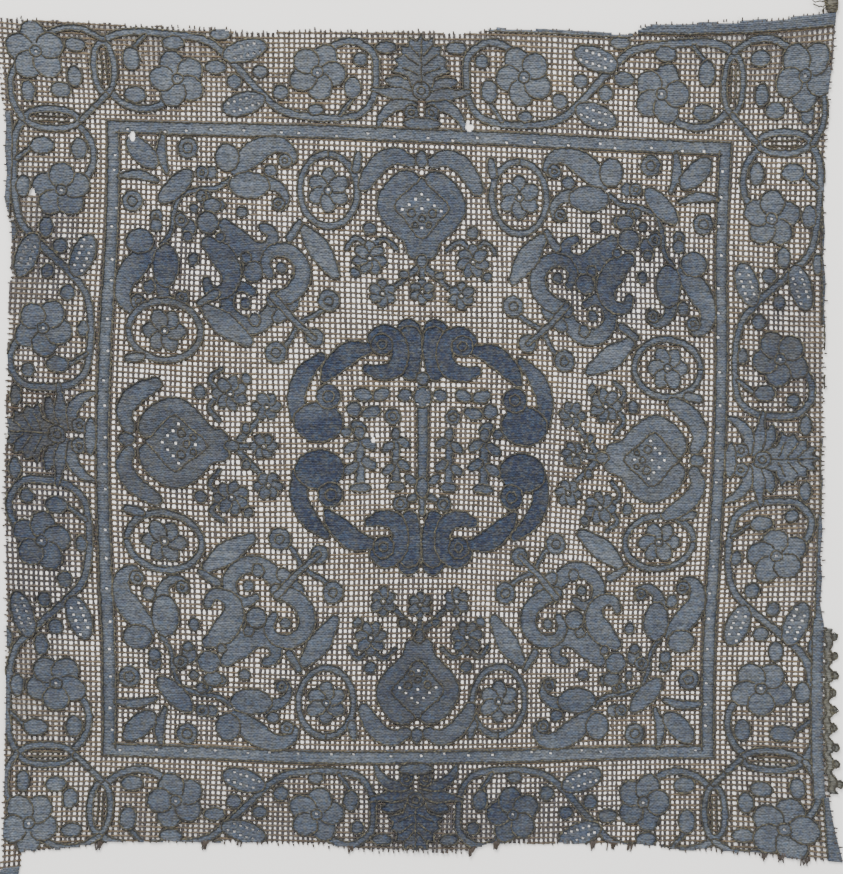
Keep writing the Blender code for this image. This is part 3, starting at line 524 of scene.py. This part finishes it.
def to_metres(points):
    points = np.asarray(points, dtype=float)
    place = points * PITCH
    u, v = np.clip(points, -PULL_REACH, PULL_REACH).T
    for knot_u, knot_v, pull_x, pull_y in PULL:
        weight = basis(u, knot_u) * basis(v, knot_v)
        place = place + columns((weight * pull_x, weight * pull_y)) * MM
    along_v, along_u = nearness(points[:, 1]), nearness(points[:, 0])
    for column, drift in enumerate((DRIFT_X, DRIFT_Y)):
        place[:, column] += np.einsum("ni,nj,ij->n", along_v, along_u, np.array(drift)) * MM
    return place


def lift(place):
    """Slight unevenness of the cloth as it lies: nothing in the middle, most along the worn edges."""
    x, y = place[:, 0], place[:, 1]
    edge = np.clip((np.maximum(np.abs(x), np.abs(y)) / (HALF_CELLS * PITCH) - 0.55) / 0.45, 0, 1.1)
    waves = 0.5 + 0.30 * np.sin(31 * x + 0.8) * np.cos(24 * y) + 0.20 * np.sin(43 * y + 17 * x)
    return LIFT * edge ** 2 * waves


def edge_reach(side, along):
    """How far the cloth reaches past the nominal edge, in cells."""
    reach = np.interp(along, *zip(*WORN_EDGE[side]))
    for height, rate in RAGGED:
        reach = reach + height * np.sin(rate * np.asarray(along) + len(side))
    return reach


def cloth_outline():
    outline = []
    for before, side in zip(SIDES[-1:] + SIDES, SIDES):
        corner = (-HALF_CELLS - edge_reach(before, HALF_CELLS), HALF_CELLS + edge_reach(side, -HALF_CELLS))
        stations = np.arange(EDGE_STEP - HALF_CELLS, HALF_CELLS, EDGE_STEP)
        run = columns((stations, HALF_CELLS + edge_reach(side, stations)))
        outline.append(TURNS[side](np.vstack(([corner], run))))
    return np.vstack(outline)


# Tests against loops

def inside(points, loop):
    x, y = points[:, 0][:, None], points[:, 1][:, None]
    x0, y0 = loop[:, 0][None], loop[:, 1][None]
    x1, y1 = np.roll(loop[:, 0], -1)[None], np.roll(loop[:, 1], -1)[None]
    left = (x1 - x0) * (y - y0) - (x - x0) * (y1 - y0)
    up = (y0 <= y) & (y1 > y) & (left > 0)
    down = (y0 > y) & (y1 <= y) & (left < 0)
    return up.sum(axis=1) != down.sum(axis=1)


def held_by(points, loop, wanted=None):
    """Numbers of the points inside the loop, of those wanted."""
    near = ((points >= loop.min(axis=0)) & (points <= loop.max(axis=0))).all(axis=1)
    near = np.flatnonzero(near if wanted is None else near & wanted)
    return near[inside(points[near], loop)]


def in_any(points, loops):
    found = np.zeros(len(points), dtype=bool)
    for loop in loops:
        found[held_by(points, loop, ~found)] = True
    return found


def stretches(seen):
    """Each unbroken stretch of True, as (from, to)."""
    breaks = np.flatnonzero(np.diff(np.concatenate(([0], seen.astype(int), [0]))))
    return list(zip(breaks[::2], breaks[1::2]))


def spans_of(loop):
    """Where each row of darning lies within the loop: a list of (row number, from, to)."""
    found = []
    start, end = loop, np.roll(loop, -1, axis=0)
    for number in np.flatnonzero((DARN_ROWS > loop[:, 1].min()) & (DARN_ROWS < loop[:, 1].max())):
        v = DARN_ROWS[number]
        up = (start[:, 1] <= v) & (end[:, 1] > v)
        hit = up | (start[:, 1] > v) & (end[:, 1] <= v)
        a, b = start[hit], end[hit]
        cross = a[:, 0] + (v - a[:, 1]) / (b[:, 1] - a[:, 1]) * (b[:, 0] - a[:, 0])
        order = np.argsort(cross)
        winding = np.cumsum(np.where(up[hit], 1, -1)[order])
        cross = cross[order]
        found += [(number, cross[k], cross[k + 1]) for k in range(len(cross) - 1) if winding[k] != 0]
    return found


def spans_by_row(loops):
    spans = {}
    for loop in loops:
        for number, low, high in spans_of(loop):
            spans.setdefault(number, []).append((low, high))
    return spans


def merge(spans):
    """The spans in order, joined where they overlap or nearly touch."""
    joined = []
    for low, high in sorted(spans):
        if joined and low <= joined[-1][1] + LEAST_GAP:
            joined[-1][1] = max(joined[-1][1], high)
        else:
            joined.append([low, high])
    return joined


def cut(spans, low, high):
    """What is left of the spans below low and above high."""
    return [(a, b) for start, end in spans for a, b in ((start, min(end, low)), (max(start, high), end)) if a < b]


# Meshes

def noise(count, spread, smooth=0):
    values = RNG.normal(0, spread, count)
    for _ in range(smooth):
        values = (np.roll(values, 1) + values + np.roll(values, -1)) / 3
    return values


def add_object(name, data):
    item = bpy.data.objects.new(name, data)
    bpy.context.scene.collection.objects.link(item)
    return item


def gathered(lines):
    """The stations of all the lines, and which line each belongs to."""
    return np.vstack(lines), np.repeat(np.arange(len(lines)), [len(line) for line in lines])


def thread_mesh(name, points, run, section, out, up, dye, closed=None, length=None):
    """Threads as tubes. points: stations in metres. run: which thread each belongs to, in order.
    section: corners as (out, up), anticlockwise. out and up: half sizes at each station.
    dye: depth of blue, stain and shade at each station. closed: which threads join up with themselves.
    length: how far along all the threads each station is, for the twist of a cord."""
    count, sides = len(points), len(section)
    numbers, changes = np.arange(count), run[1:] != run[:-1]
    first, last = np.append(True, changes), np.append(changes, True)
    following, before = np.where(last, numbers, numbers + 1), np.where(first, numbers, numbers - 1)
    if closed is not None:
        starts, ends = np.flatnonzero(first), np.flatnonzero(last)
        loops = closed[run[starts]]
        following[ends[loops]], before[starts[loops]] = starts[loops], ends[loops]
    heading = points[following] - points[before]
    flat = columns((-heading[:, 1], heading[:, 0], np.zeros(count)))
    flat /= np.maximum(np.linalg.norm(flat, axis=1), 1e-9)[:, None]
    section = np.array(section, dtype=float)
    places = points[:, None] + flat[:, None] * (section[:, :1] * out[:, None, None])
    places[:, :, 2] += section[:, 1] * up[:, None]
    linked, corner = np.flatnonzero(following != numbers), np.arange(sides)
    here, there = (at[:, None] * sides + corner for at in (linked, following[linked]))
    walls = np.stack((here, np.roll(here, -1, axis=1), np.roll(there, -1, axis=1), there), axis=2).reshape(-1, 4)
    caps = np.vstack((np.flatnonzero(before == numbers)[:, None] * sides + corner[::-1],
                      np.flatnonzero(following == numbers)[:, None] * sides + corner))
    totals = np.repeat((4, sides), (len(walls), len(caps)))
    mesh = bpy.data.meshes.new(name)
    mesh.vertices.add(count * sides)
    mesh.vertices.foreach_set("co", places.astype(np.float32).ravel())
    mesh.loops.add(walls.size + caps.size)
    mesh.loops.foreach_set("vertex_index", np.concatenate((walls.ravel(), caps.ravel())).astype(np.int32))
    mesh.polygons.add(len(totals))
    mesh.polygons.foreach_set("loop_start", (np.cumsum(totals) - totals).astype(np.int32))
    mesh.polygons.foreach_set("loop_total", totals.astype(np.int32))
    mesh.update(calc_edges=True)
    mesh.polygons.foreach_set("use_smooth", np.arange(len(totals)) < len(walls))
    layers = {"dye": dye[:, None] + np.zeros((sides, 1))}
    if length is not None:
        turn = np.arctan2(section[:, 1], section[:, 0])
        layers["twist"] = np.stack(np.broadcast_arrays(length[:, None], np.cos(turn), np.sin(turn)), axis=2)
    for layer, values in layers.items():
        colours = np.ones((count, sides, 4), dtype=np.float32)
        colours[:, :, :3] = values
        mesh.attributes.new(layer, "FLOAT_COLOR", "POINT").data.foreach_set("color", colours.ravel())
    mesh.validate()
    return add_object(name, mesh)


def zone_values(places, base):
    """Depth of blue and stain at places in cells. base: the depth outside the zones."""
    depth, stain = np.zeros(len(places)) + base, np.zeros(len(places))
    for u, v, reach_u, reach_v, deeper, dirty in ZONES:
        near = np.exp(-(((places[:, 0] - u) / reach_u) ** 2 + ((places[:, 1] - v) / reach_v) ** 2) ** 2)
        depth += deeper * near
        stain += dirty * near
    return depth, stain


def line_dye(cells):
    return zone_values(cells, LINE_DEPTH)


def plain_dye(depth, stain):
    """The same dye at all places."""
    return lambda cells: (np.full(len(cells), depth), np.full(len(cells), stain))


def with_shade(dye, run):
    """The dye's depth and stain, and a random shade for each thread."""
    return columns((*dye, RNG.random(run[-1] + 1)[run]))


# The design

GROUPS = {"band": bands(), "outer": outer_bands(), "corner": corner_spray(), "ring": ring_flowers(),
          "palmette": palmettes(), "wreath": wreath(), "centre": wreath_centre(), "border": border(),
          "border corner": border_corners()}
PANEL = ("corner", "ring", "palmette", "wreath", "centre")
BANDS = ("band", "outer")
CLOTH = [cloth_outline(), np.array(TAIL, dtype=float)]
HOLE_LOOPS = ovals(HOLES)
# Each darned loop and its group. Later ones lie over the earlier
LOOPS = [(loop, group) for group, motif in GROUPS.items() for loop in motif.rings + motif.loops]
LOOPS.append((np.array(TAIL_END, dtype=float), "outer"))
SHAPES = [loop for loop, _ in LOOPS]


# Darning

def thread_runs(loops, cloth_loops, gaps):
    """Threads of darning in the loops, cut to the cloth and off the gaps: (row, row number, from, to)."""
    spans, cloth = spans_by_row(loops), spans_by_row(cloth_loops)
    runs = []
    for number, row in enumerate(DARN_ROWS):
        joined = merge(spans.get(number, ()))
        for low, high in gaps.get(number, ()):
            joined = cut(joined, low, high)
        for low, high in joined:
            for cloth_low, cloth_high in merge(cloth.get(number, ())):
                a, b = max(low, cloth_low), min(high, cloth_high)
                if b - a > SHORTEST:
                    runs.append((row, number, a, b))
    return runs


def gaps_in_rows():
    """Worn holes, and the small open dots left in the darning, by row number."""
    gaps = spans_by_row(HOLE_LOOPS)
    for u, v in np.vstack([dots for motif in GROUPS.values() for dots in motif.dots]):
        between = int(round(v / ROW)) + ROWS
        for number in (between - 1, between):
            gaps.setdefault(number, []).append((u - DOT, u + DOT))
    return gaps


def darned_mesh(name, runs, dye_of, place=to_metres):
    """The threads as one mesh. dye_of gives the depth and stain at places in cells."""
    lines, high = [], []
    for row, number, low, end in runs:
        line = np.concatenate(([low], np.arange(math.ceil(low + 0.3), math.floor(end - 0.3) + 1), [end]))
        over = np.where((np.rint(line).astype(int) + number) % 2 == 0, 1.0, -1.0)
        over[0] = over[-1] = -0.8
        lines.append(columns((line, np.full(len(line), row))))
        high.append(over)
    stations, owner = gathered(lines)
    high, places = np.concatenate(high), place(stations)
    points = columns((places[:, 0], places[:, 1] + noise(len(stations), 0.00011),
                      lift(places) + DARN_LOW + 0.00006 * (owner % 3)))
    out = np.full(len(stations), 0.90 * ROW * PITCH) * (1 + noise(len(stations), 0.10))
    up = (DARN_HIGH - DARN_LOW) * np.clip(0.78 + 0.30 * high + noise(len(stations), 0.16), 0.25, 1.3)
    dye = with_shade(dye_of(stations), owner)
    # The shade channel holds each thread's random tone, plus a painted highlight where the thread passes over a
    # strand and a painted shade where it passes under.
    dye[:, 2] = 0.2 + 0.6 * dye[:, 2] + 0.16 * high
    return thread_mesh(name, points, owner, TRIANGLE, out, up, dye)


def cloth_dye(cells):
    base = np.full(len(cells), DEPTH["border"])
    for loop, group in LOOPS:
        base[held_by(cells, loop)] = DEPTH[group]
    return zone_values(cells, base)


def darned_pieces():
    panel, rest = [], []
    for run in thread_runs(SHAPES, CLOTH, gaps_in_rows()):
        row, _, low, high = run
        within = max(abs(row), low, -high, abs(low + high) / 2) < BAND_NEAR
        (panel if within else rest).append(run)
    return [darned_mesh("darning_panel", panel, cloth_dye), darned_mesh("darning_border", rest, cloth_dye)]


# Cords

def visible_stretches(visible, closed):
    """Numbers of the stations in each unbroken visible stretch, and whether it is the whole closed loop."""
    order = np.arange(len(visible))
    if visible.all():
        return [(order, closed)]
    if closed:
        order = np.roll(order, -int(np.flatnonzero(~visible)[0]))
    return [(order[a:b], False) for a, b in stretches(visible[order]) if b - a >= 3]


def cord_mesh(name, lines, closed, dye_of, place=to_metres, size=1.0):
    """Couched cords along lines of stations in cells. closed says which join up with themselves."""
    cells, runs = gathered(lines)
    cells = cells + columns((noise(len(cells), 0.07), noise(len(cells), 0.07)))
    places = place(cells)
    length = np.concatenate(([0.0], np.cumsum(np.linalg.norm(np.diff(places, axis=0), axis=1))))
    stitch = 0.5 + 0.5 * np.sin(length * 2 * math.pi / PITCH)
    level = CORD_MIDDLE + 0.00008 * (runs % 3) + 0.00016 * (stitch - 0.5)
    out = size * CORD_OUT * (0.86 + 0.30 * stitch + noise(len(cells), 0.17))
    up = size * CORD_UP * (0.84 + 0.30 * stitch + noise(len(cells), 0.10))
    return thread_mesh(name, columns((places, lift(places) + level)), runs, DIAMOND, out, up,
                       with_shade(dye_of(cells), runs), np.array(closed), length)


def cord_pieces():
    """A cord round every darned loop, hidden where a later loop lies over it, and the lone cords."""
    lines = [(loop, True, number, group) for number, (loop, group) in enumerate(LOOPS) if group not in BANDS]
    lines += [(resample(line, STEP), False, len(LOOPS), group)
              for group, motif in GROUPS.items() for line in motif.lines]
    stations, whose = gathered([line[0] for line in lines])
    numbers = np.array([line[2] for line in lines])[whose]
    hidden = ~in_any(stations, CLOTH) | in_any(stations, HOLE_LOOPS)
    edge_bands = [loop for loop, group in LOOPS if group == "outer"]
    hidden |= in_any(stations, edge_bands) & np.array([line[3] != "outer" for line in lines])[whose]
    for number, (loop, group) in enumerate(LOOPS):
        if group not in BANDS:
            hidden[held_by(stations, loop, (numbers < number) & ~hidden)] = True
    kept = {True: ([], []), False: ([], [])}
    first = 0
    for line, shut, _, group in lines:
        here = slice(first, first + len(line))
        for stretch, whole in visible_stretches(~hidden[here], shut):
            kept[group in PANEL][0].append(stations[here][stretch])
            kept[group in PANEL][1].append(whole)
        first += len(line)
    return [cord_mesh("cords_panel", *kept[True], line_dye), cord_mesh("cords_border", *kept[False], line_dye)]


# Loose ends, edging and scrap

def loose_end(side, along, length, lean):
    """A bent thread end that leaves the worn edge, in metres."""
    start = HALF_CELLS + float(edge_reach(side, along)) - 0.3
    t = np.linspace(0, 1, 4)
    bend = RNG.normal(0, 0.25) * length
    line = columns((along + lean * t * length + bend * t * (1 - t), start + (length + 0.3) * t))
    return to_metres(TURNS[side](line))


def loose_ends():
    """The cut ends of the net all round, and the longer tufts that hang from the lower edge."""
    lines = []
    for side, low, high in (("top", 0.2, 0.45), ("right", 0.1, 0.35), ("bottom", 0.1, 0.45), ("left", 0.1, 0.4)):
        for along in np.arange(-79.5, 80, 1.0):
            length = RNG.uniform(low, high) * (0.6 if side == "top" and along > 12 else 1.0)
            lines.append(loose_end(side, along + RNG.normal(0, 0.12), length, RNG.normal(0, 0.22)))
    for middle, count in TUFTS:
        for away in RNG.normal(0, 0.45, count):
            length = RNG.uniform(0.6, 1.7)
            lines.append(loose_end("bottom", middle + away, length, RNG.normal(0.15 - 0.4 * away / length, 0.15)))
    points, runs = gathered(lines)
    size = LOOSE_THICK * np.tile(np.linspace(1.0, 0.7, 4), len(lines)) * (1 + noise(len(points), 0.10))
    # The ends are browned with the stained colour: partly the silk's own stain, partly a painted shadow standing
    # for the brownish shade under the lower edge.
    return thread_mesh("loose_ends", columns((points, lift(points) + LOOSE_HEIGHT)), runs, DIAMOND, size, size,
                       with_shade(plain_dye(0.5, 0.6)(points), runs))


def edging_pieces():
    """The scalloped edging on the lower right: a narrow darned strip with a knot at each point."""
    turn = TURNS["right"]
    stations = np.arange(EDGING_FROM, EDGING_TO + 0.01, 0.5)
    near = HALF_CELLS + edge_reach("right", stations) + 0.15
    first = EDGING_FROM + EDGING_PITCH / 2
    wave = 0.5 + 0.5 * np.cos((stations - EDGING_FROM - EDGING_PITCH / 2) * 2 * math.pi / EDGING_PITCH)
    far = near + 1.20 + 0.45 * wave + noise(len(stations), 0.12, 1)
    loops = [turn(np.vstack((columns((stations, near)), columns((stations, far))[::-1])))]
    points = np.arange(first, EDGING_TO, EDGING_PITCH)
    for along in points + RNG.normal(0, 0.25, len(points)):
        reach = HALF_CELLS + float(edge_reach("right", along)) + 1.95 + RNG.normal(0, 0.12)
        loops.append(turn(oval(along, reach, 1.5, 1.2)))
    lines = [resample(turn(columns((stations, out))), STEP) for out in (far - 0.1, near + 0.2)] + loops[1:]
    dye = plain_dye(0.35, 0.25)
    return [darned_mesh("edging_darning", thread_runs(loops, loops, {}), dye),
            cord_mesh("edging_cords", lines, [False, False] + [True] * len(points), dye, size=0.85)]


def scrap_pieces():
    """The frayed scrap at the top right corner, with its loose threads."""
    corner = to_metres([(HALF_CELLS + float(edge_reach("right", -HALF_CELLS)),
                         HALF_CELLS + float(edge_reach("top", HALF_CELLS)))])[0]
    body = close_up(np.array(SCRAP_OUTLINE) * MM / PITCH)
    lines = [resample(smooth_line(np.array(rows) * MM / PITCH), FINE_STEP) for rows in SCRAP_THREADS + SCRAP_BANDS]
    dye = plain_dye(0.1, 0.45)

    def place(cells):
        return corner + np.asarray(cells) * PITCH

    return [darned_mesh("scrap_darning", thread_runs([body], [body], {}), dye, place),
            cord_mesh("scrap_threads", [body] + lines, [True] + [False] * len(lines), dye, place, 0.75)]


# The net

def net_pieces():
    """The strands of the net where no darning covers them."""
    lines = np.arange(-NET_REACH, NET_REACH) + 0.5
    offset = noise(len(lines), 0.09)
    phase = RNG.random(len(lines)) * 6.28
    along, line = np.meshgrid(np.arange(-2 * NET_REACH, 2 * NET_REACH) / 2, lines)
    pieces = []
    for name, order, wide, rough, high, rise in STRANDS:
        across = line + offset[:, None] * np.sin(0.11 * along + phase[:, None])
        across += RNG.normal(0, 0.035, across.shape)
        tests = columns((line[:, :-1].ravel(), along[:, :-1].ravel() + 0.25))[:, ::order]
        bare = in_any(tests, CLOTH) & ~in_any(tests, HOLE_LOOPS) & ~in_any(tests, SHAPES)
        cells, runs = gathered([columns((across[row, a:b + 1], along[row, a:b + 1]))
                                for row, seen in enumerate(bare.reshape(len(lines), -1))
                                for a, b in stretches(seen)])
        between = (cells[:, 1] % 1.0 == 0).astype(int)
        cells = cells[:, ::order]
        places = to_metres(cells)
        uneven = 1.03 + 0.13 * np.sin(0.23 * cells[:, 0] + 0.8) * np.sin(0.19 * cells[:, 1] + 2.0)
        out = PITCH * np.array(wide)[between] * uneven * (1 + noise(len(cells), rough))
        up = (NET_HIGH - NET_LOW) * np.array(high)[between]
        pieces.append(thread_mesh(name, columns((places, lift(places) + NET_LOW + rise)), runs, TRIANGLE, out, up,
                                  with_shade(line_dye(cells), runs)))
    return pieces


# Materials

def colour(hex_code):
    """Linear colour from the usual six digits."""
    parts = [int(hex_code[i:i + 2], 16) / 255 for i in (0, 2, 4)]
    return tuple(x / 12.92 if x <= 0.04045 else ((x + 0.055) / 1.055) ** 2.4 for x in parts) + (1.0,)


def new_material(name, settings):
    """A material whose shader has these settings, its nodes and its shader."""
    material = bpy.data.materials.new(name)
    material.use_nodes = True
    shader = material.node_tree.nodes["Principled BSDF"]
    for socket, value in settings.items():
        shader.inputs[socket].default_value = value
    return material, shader


def silk(name, dyes, fibre, roughness=0.7, spread=0.5, tints=(), light=None, weave_shade=0.0):
    """Silk dyed by the dye layer. dyes: pale, deep and stained. fibre: noise scales along x, y and z.
    spread: how uneven threads are. tints: (colour, noise scale, amount) flecks. light: colour of the painted
    highlight laid on the crests of a twisted cord. weave: how much painted shade and highlight set the
    threads over apart from those under."""
    material, shader = new_material(name, {"Roughness": roughness, "Specular IOR Level": 0.2, "Sheen Weight": 0.1,
                                           "Sheen Roughness": 0.5})
    nodes, links = material.node_tree.nodes, material.node_tree.links
    place = nodes.new("ShaderNodeTexCoord").outputs["Object"]

    def join(value, socket):
        if isinstance(value, (int, float, tuple)):
            socket.default_value = value
        else:
            links.new(value, socket)

    def split(kind, value, socket):
        node = nodes.new(kind)
        links.new(value, node.inputs[socket])
        return node.outputs

    def layer(title):
        attribute = nodes.new("ShaderNodeAttribute")
        attribute.attribute_name = title
        return split("ShaderNodeSeparateColor", attribute.outputs["Color"], "Color")

    def fleck(scale, detail, stretch=(1, 1, 1), shift=0.0):
        mapping, texture = nodes.new("ShaderNodeMapping"), nodes.new("ShaderNodeTexNoise")
        for node, socket, value in ((mapping, "Vector", place), (mapping, "Scale", stretch),
                                    (mapping, "Location", (shift, shift, 0)), (texture, "Scale", scale),
                                    (texture, "Detail", detail), (texture, "Vector", mapping.outputs["Vector"])):
            join(value, node.inputs[socket])
        return texture.outputs["Fac"]

    def calc(operation, a, b=0.0, clamp=False):
        node = nodes.new("ShaderNodeMath")
        node.operation = operation
        node.use_clamp = clamp
        join(a, node.inputs[0])
        join(b, node.inputs[1])
        return node.outputs["Value"]

    def about(value, middle, gain, clamp=False):
        return calc("MULTIPLY", calc("SUBTRACT", value, middle), gain, clamp)

    def mix(factor, a, b, blend="MIX"):
        node = nodes.new("ShaderNodeMix")
        node.data_type = "RGBA"
        node.blend_type = blend
        for value, socket in zip((factor, a, b), [socket for socket in node.inputs if socket.enabled]):
            join(value, socket)
        return next(socket for socket in node.outputs if socket.enabled)

    dye = layer("dye")
    pale, deep, stained = map(colour, dyes)
    base = mix(calc("ADD", dye["Red"], about(fleck(38, 3), 0.5, 1.1), clamp=True), pale, deep)
    for number, (tint, scale, amount) in enumerate(tints):
        spots = fleck(scale, 2, shift=0.37 * (number + 1))
        base = mix(about(spots, 0.42, amount, clamp=True), base, colour(tint))
    dirt = calc("ADD", dye["Green"], about(fleck(110, 2, shift=3.1), 0.56, 1.4), clamp=True)
    base = mix(calc("MULTIPLY", dirt, 0.75), base, stained)
    ridge = fleck(1.0, 2, fibre)
    # A twisted cord gets a painted highlight: the light colour is laid on the crests of its twist and in scattered
    # spots.
    if light:
        twist = layer("twist")
        phase = calc("MULTIPLY", twist["Red"], 2 * math.pi / (0.75 * PITCH))
        wave = calc("ADD", calc("MULTIPLY", calc("SINE", phase), twist["Green"]),
                    calc("MULTIPLY", calc("COSINE", phase), twist["Blue"]))
        painted_highlight = calc("ADD", calc("MULTIPLY", wave, 0.26), about(fleck(520, 2, shift=1.7), 0.50, 3.2))
        base = mix(calc("ADD", painted_highlight, 0.12, clamp=True), base, colour(light))
        ridge = calc("ADD", ridge, calc("MULTIPLY", wave, 0.5))
    value = calc("ADD", about(dye["Blue"], 0.5, spread), about(fleck(1.0, 2, (420, 900, 400)), 0.5, 0.6))
    # Painted shade and highlight: a checker of lighter and darker squares where the threads of a cloth stitch
    # would pass over and under.
    if weave_shade:
        axes = split("ShaderNodeSeparateXYZ", place, "Vector")
        over, under = (calc("SINE", calc("MULTIPLY", axes[axis], math.pi / (ROW * PITCH))) for axis in "XY")
        value = calc("ADD", value, calc("MULTIPLY", calc("MULTIPLY", over, under), weave_shade))
    value = calc("ADD", calc("ADD", value, about(fleck(620, 2, shift=5.3), 0.5, 1.5)), 1.0)
    value = calc("MAXIMUM", value, 0.35)
    grey = nodes.new("ShaderNodeCombineColor")
    for socket in grey.inputs[:3]:
        links.new(value, socket)
    links.new(mix(1.0, base, grey.outputs["Color"], "MULTIPLY"), shader.inputs["Base Color"])
    bump = nodes.new("ShaderNodeBump")
    for socket, setting in (("Strength", 0.6), ("Distance", 0.00015), ("Height", ridge)):
        join(setting, bump.inputs[socket])
    links.new(bump.outputs["Normal"], shader.inputs["Normal"])
    return material


def dress(node, pieces, materials):
    """Give the pieces their materials, and let them stand for the solid."""
    for piece, material in zip(pieces, materials):
        piece.data.materials.append(material)
        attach(piece, "root")
        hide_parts(node)


FLECKS = (("262A3E", 310, 1.6), ("35495E", 420, 1.4), ("4C4A38", 520, 1.6))
# The darning's weave value paints shade and highlight where threads pass over and under.
DARNING = silk("darning_silk", ("585D64", "1A2033", "3C382C"), (1800, 5000, 3000), 0.62, tints=FLECKS, weave_shade=0.22)
# The cord's light colour is a painted highlight on the crests of its twist.
CORD = silk("cord_silk", ("35322A", "282828", "2C2318"), (3000, 3000, 3000), spread=0.4, light="595542")
UPRIGHT = silk("upright_net", ("47413C", "363438", "3F3322"), (4000, 600, 3000))
LEVEL = silk("level_net", ("655741", "49433C", "523E25"), (600, 4000, 3000))
LACE = silk("edging_silk", ("656459", "3D4450", "4B4130"), (900, 5000, 3000), tints=FLECKS[2:])

VEIL_PIECES = darned_pieces() + cord_pieces() + net_pieces() + [loose_ends()]
dress("veil", VEIL_PIECES, (DARNING, DARNING, CORD, CORD, UPRIGHT, LEVEL, UPRIGHT))
[piece for piece in VEIL_PIECES if piece != VEIL_PIECES[4]]
dress("edging_remnant", edging_pieces(), (LACE, CORD))
dress("corner_scrap", scrap_pieces(), (LACE, CORD))


# Stage, light and camera

def area_light(name, place, size, power, tint):
    """A square light that looks at the middle of the cloth."""
    light = bpy.data.lights.new(name, "AREA")
    light.shape, light.size, light.energy, light.color = "SQUARE", size, power, tint
    lamp = add_object(name, light)
    x, y, z = place
    lamp.location = place
    lamp.rotation_euler = (math.atan2(math.hypot(x, y), z), 0, math.atan2(-x, y) + math.pi)


floor = bpy.data.meshes.new("floor")
floor.from_pydata([(x * FLOOR, y * FLOOR, 0.0) for x, y in ((-1, -1), (1, -1), (1, 1), (-1, 1))], [],
                  [(0, 1, 2, 3)])
floor.materials.append(new_material("pale_floor", {"Base Color": colour("F5F2EC"), "Roughness": 0.9})[0])
add_object("floor", floor)

area_light("key", (-0.7, 1.8, 2.0), 1.4, 116, (1.0, 0.99, 0.975))
area_light("side", (1.5, -0.2, 2.0), 1.6, 27.5, (0.97, 0.985, 1.0))
world = bpy.data.worlds.new("studio")
world.use_nodes = True
world.node_tree.nodes["Background"].inputs["Color"].default_value = (0.95, 0.96, 1.0, 1.0)
world.node_tree.nodes["Background"].inputs["Strength"].default_value = 1.10
bpy.context.scene.world = world

camera_data = bpy.data.cameras.new("camera")
camera_data.sensor_fit = "VERTICAL"
camera_data.sensor_height = SENSOR
camera_data.lens = CAMERA_LENS
camera_data.clip_end = 20
camera = add_object("camera", camera_data)
camera.location = (0.0003, 0.0044, VIEW_HIGH * CAMERA_LENS / SENSOR + 0.001)
bpy.context.scene.camera = camera
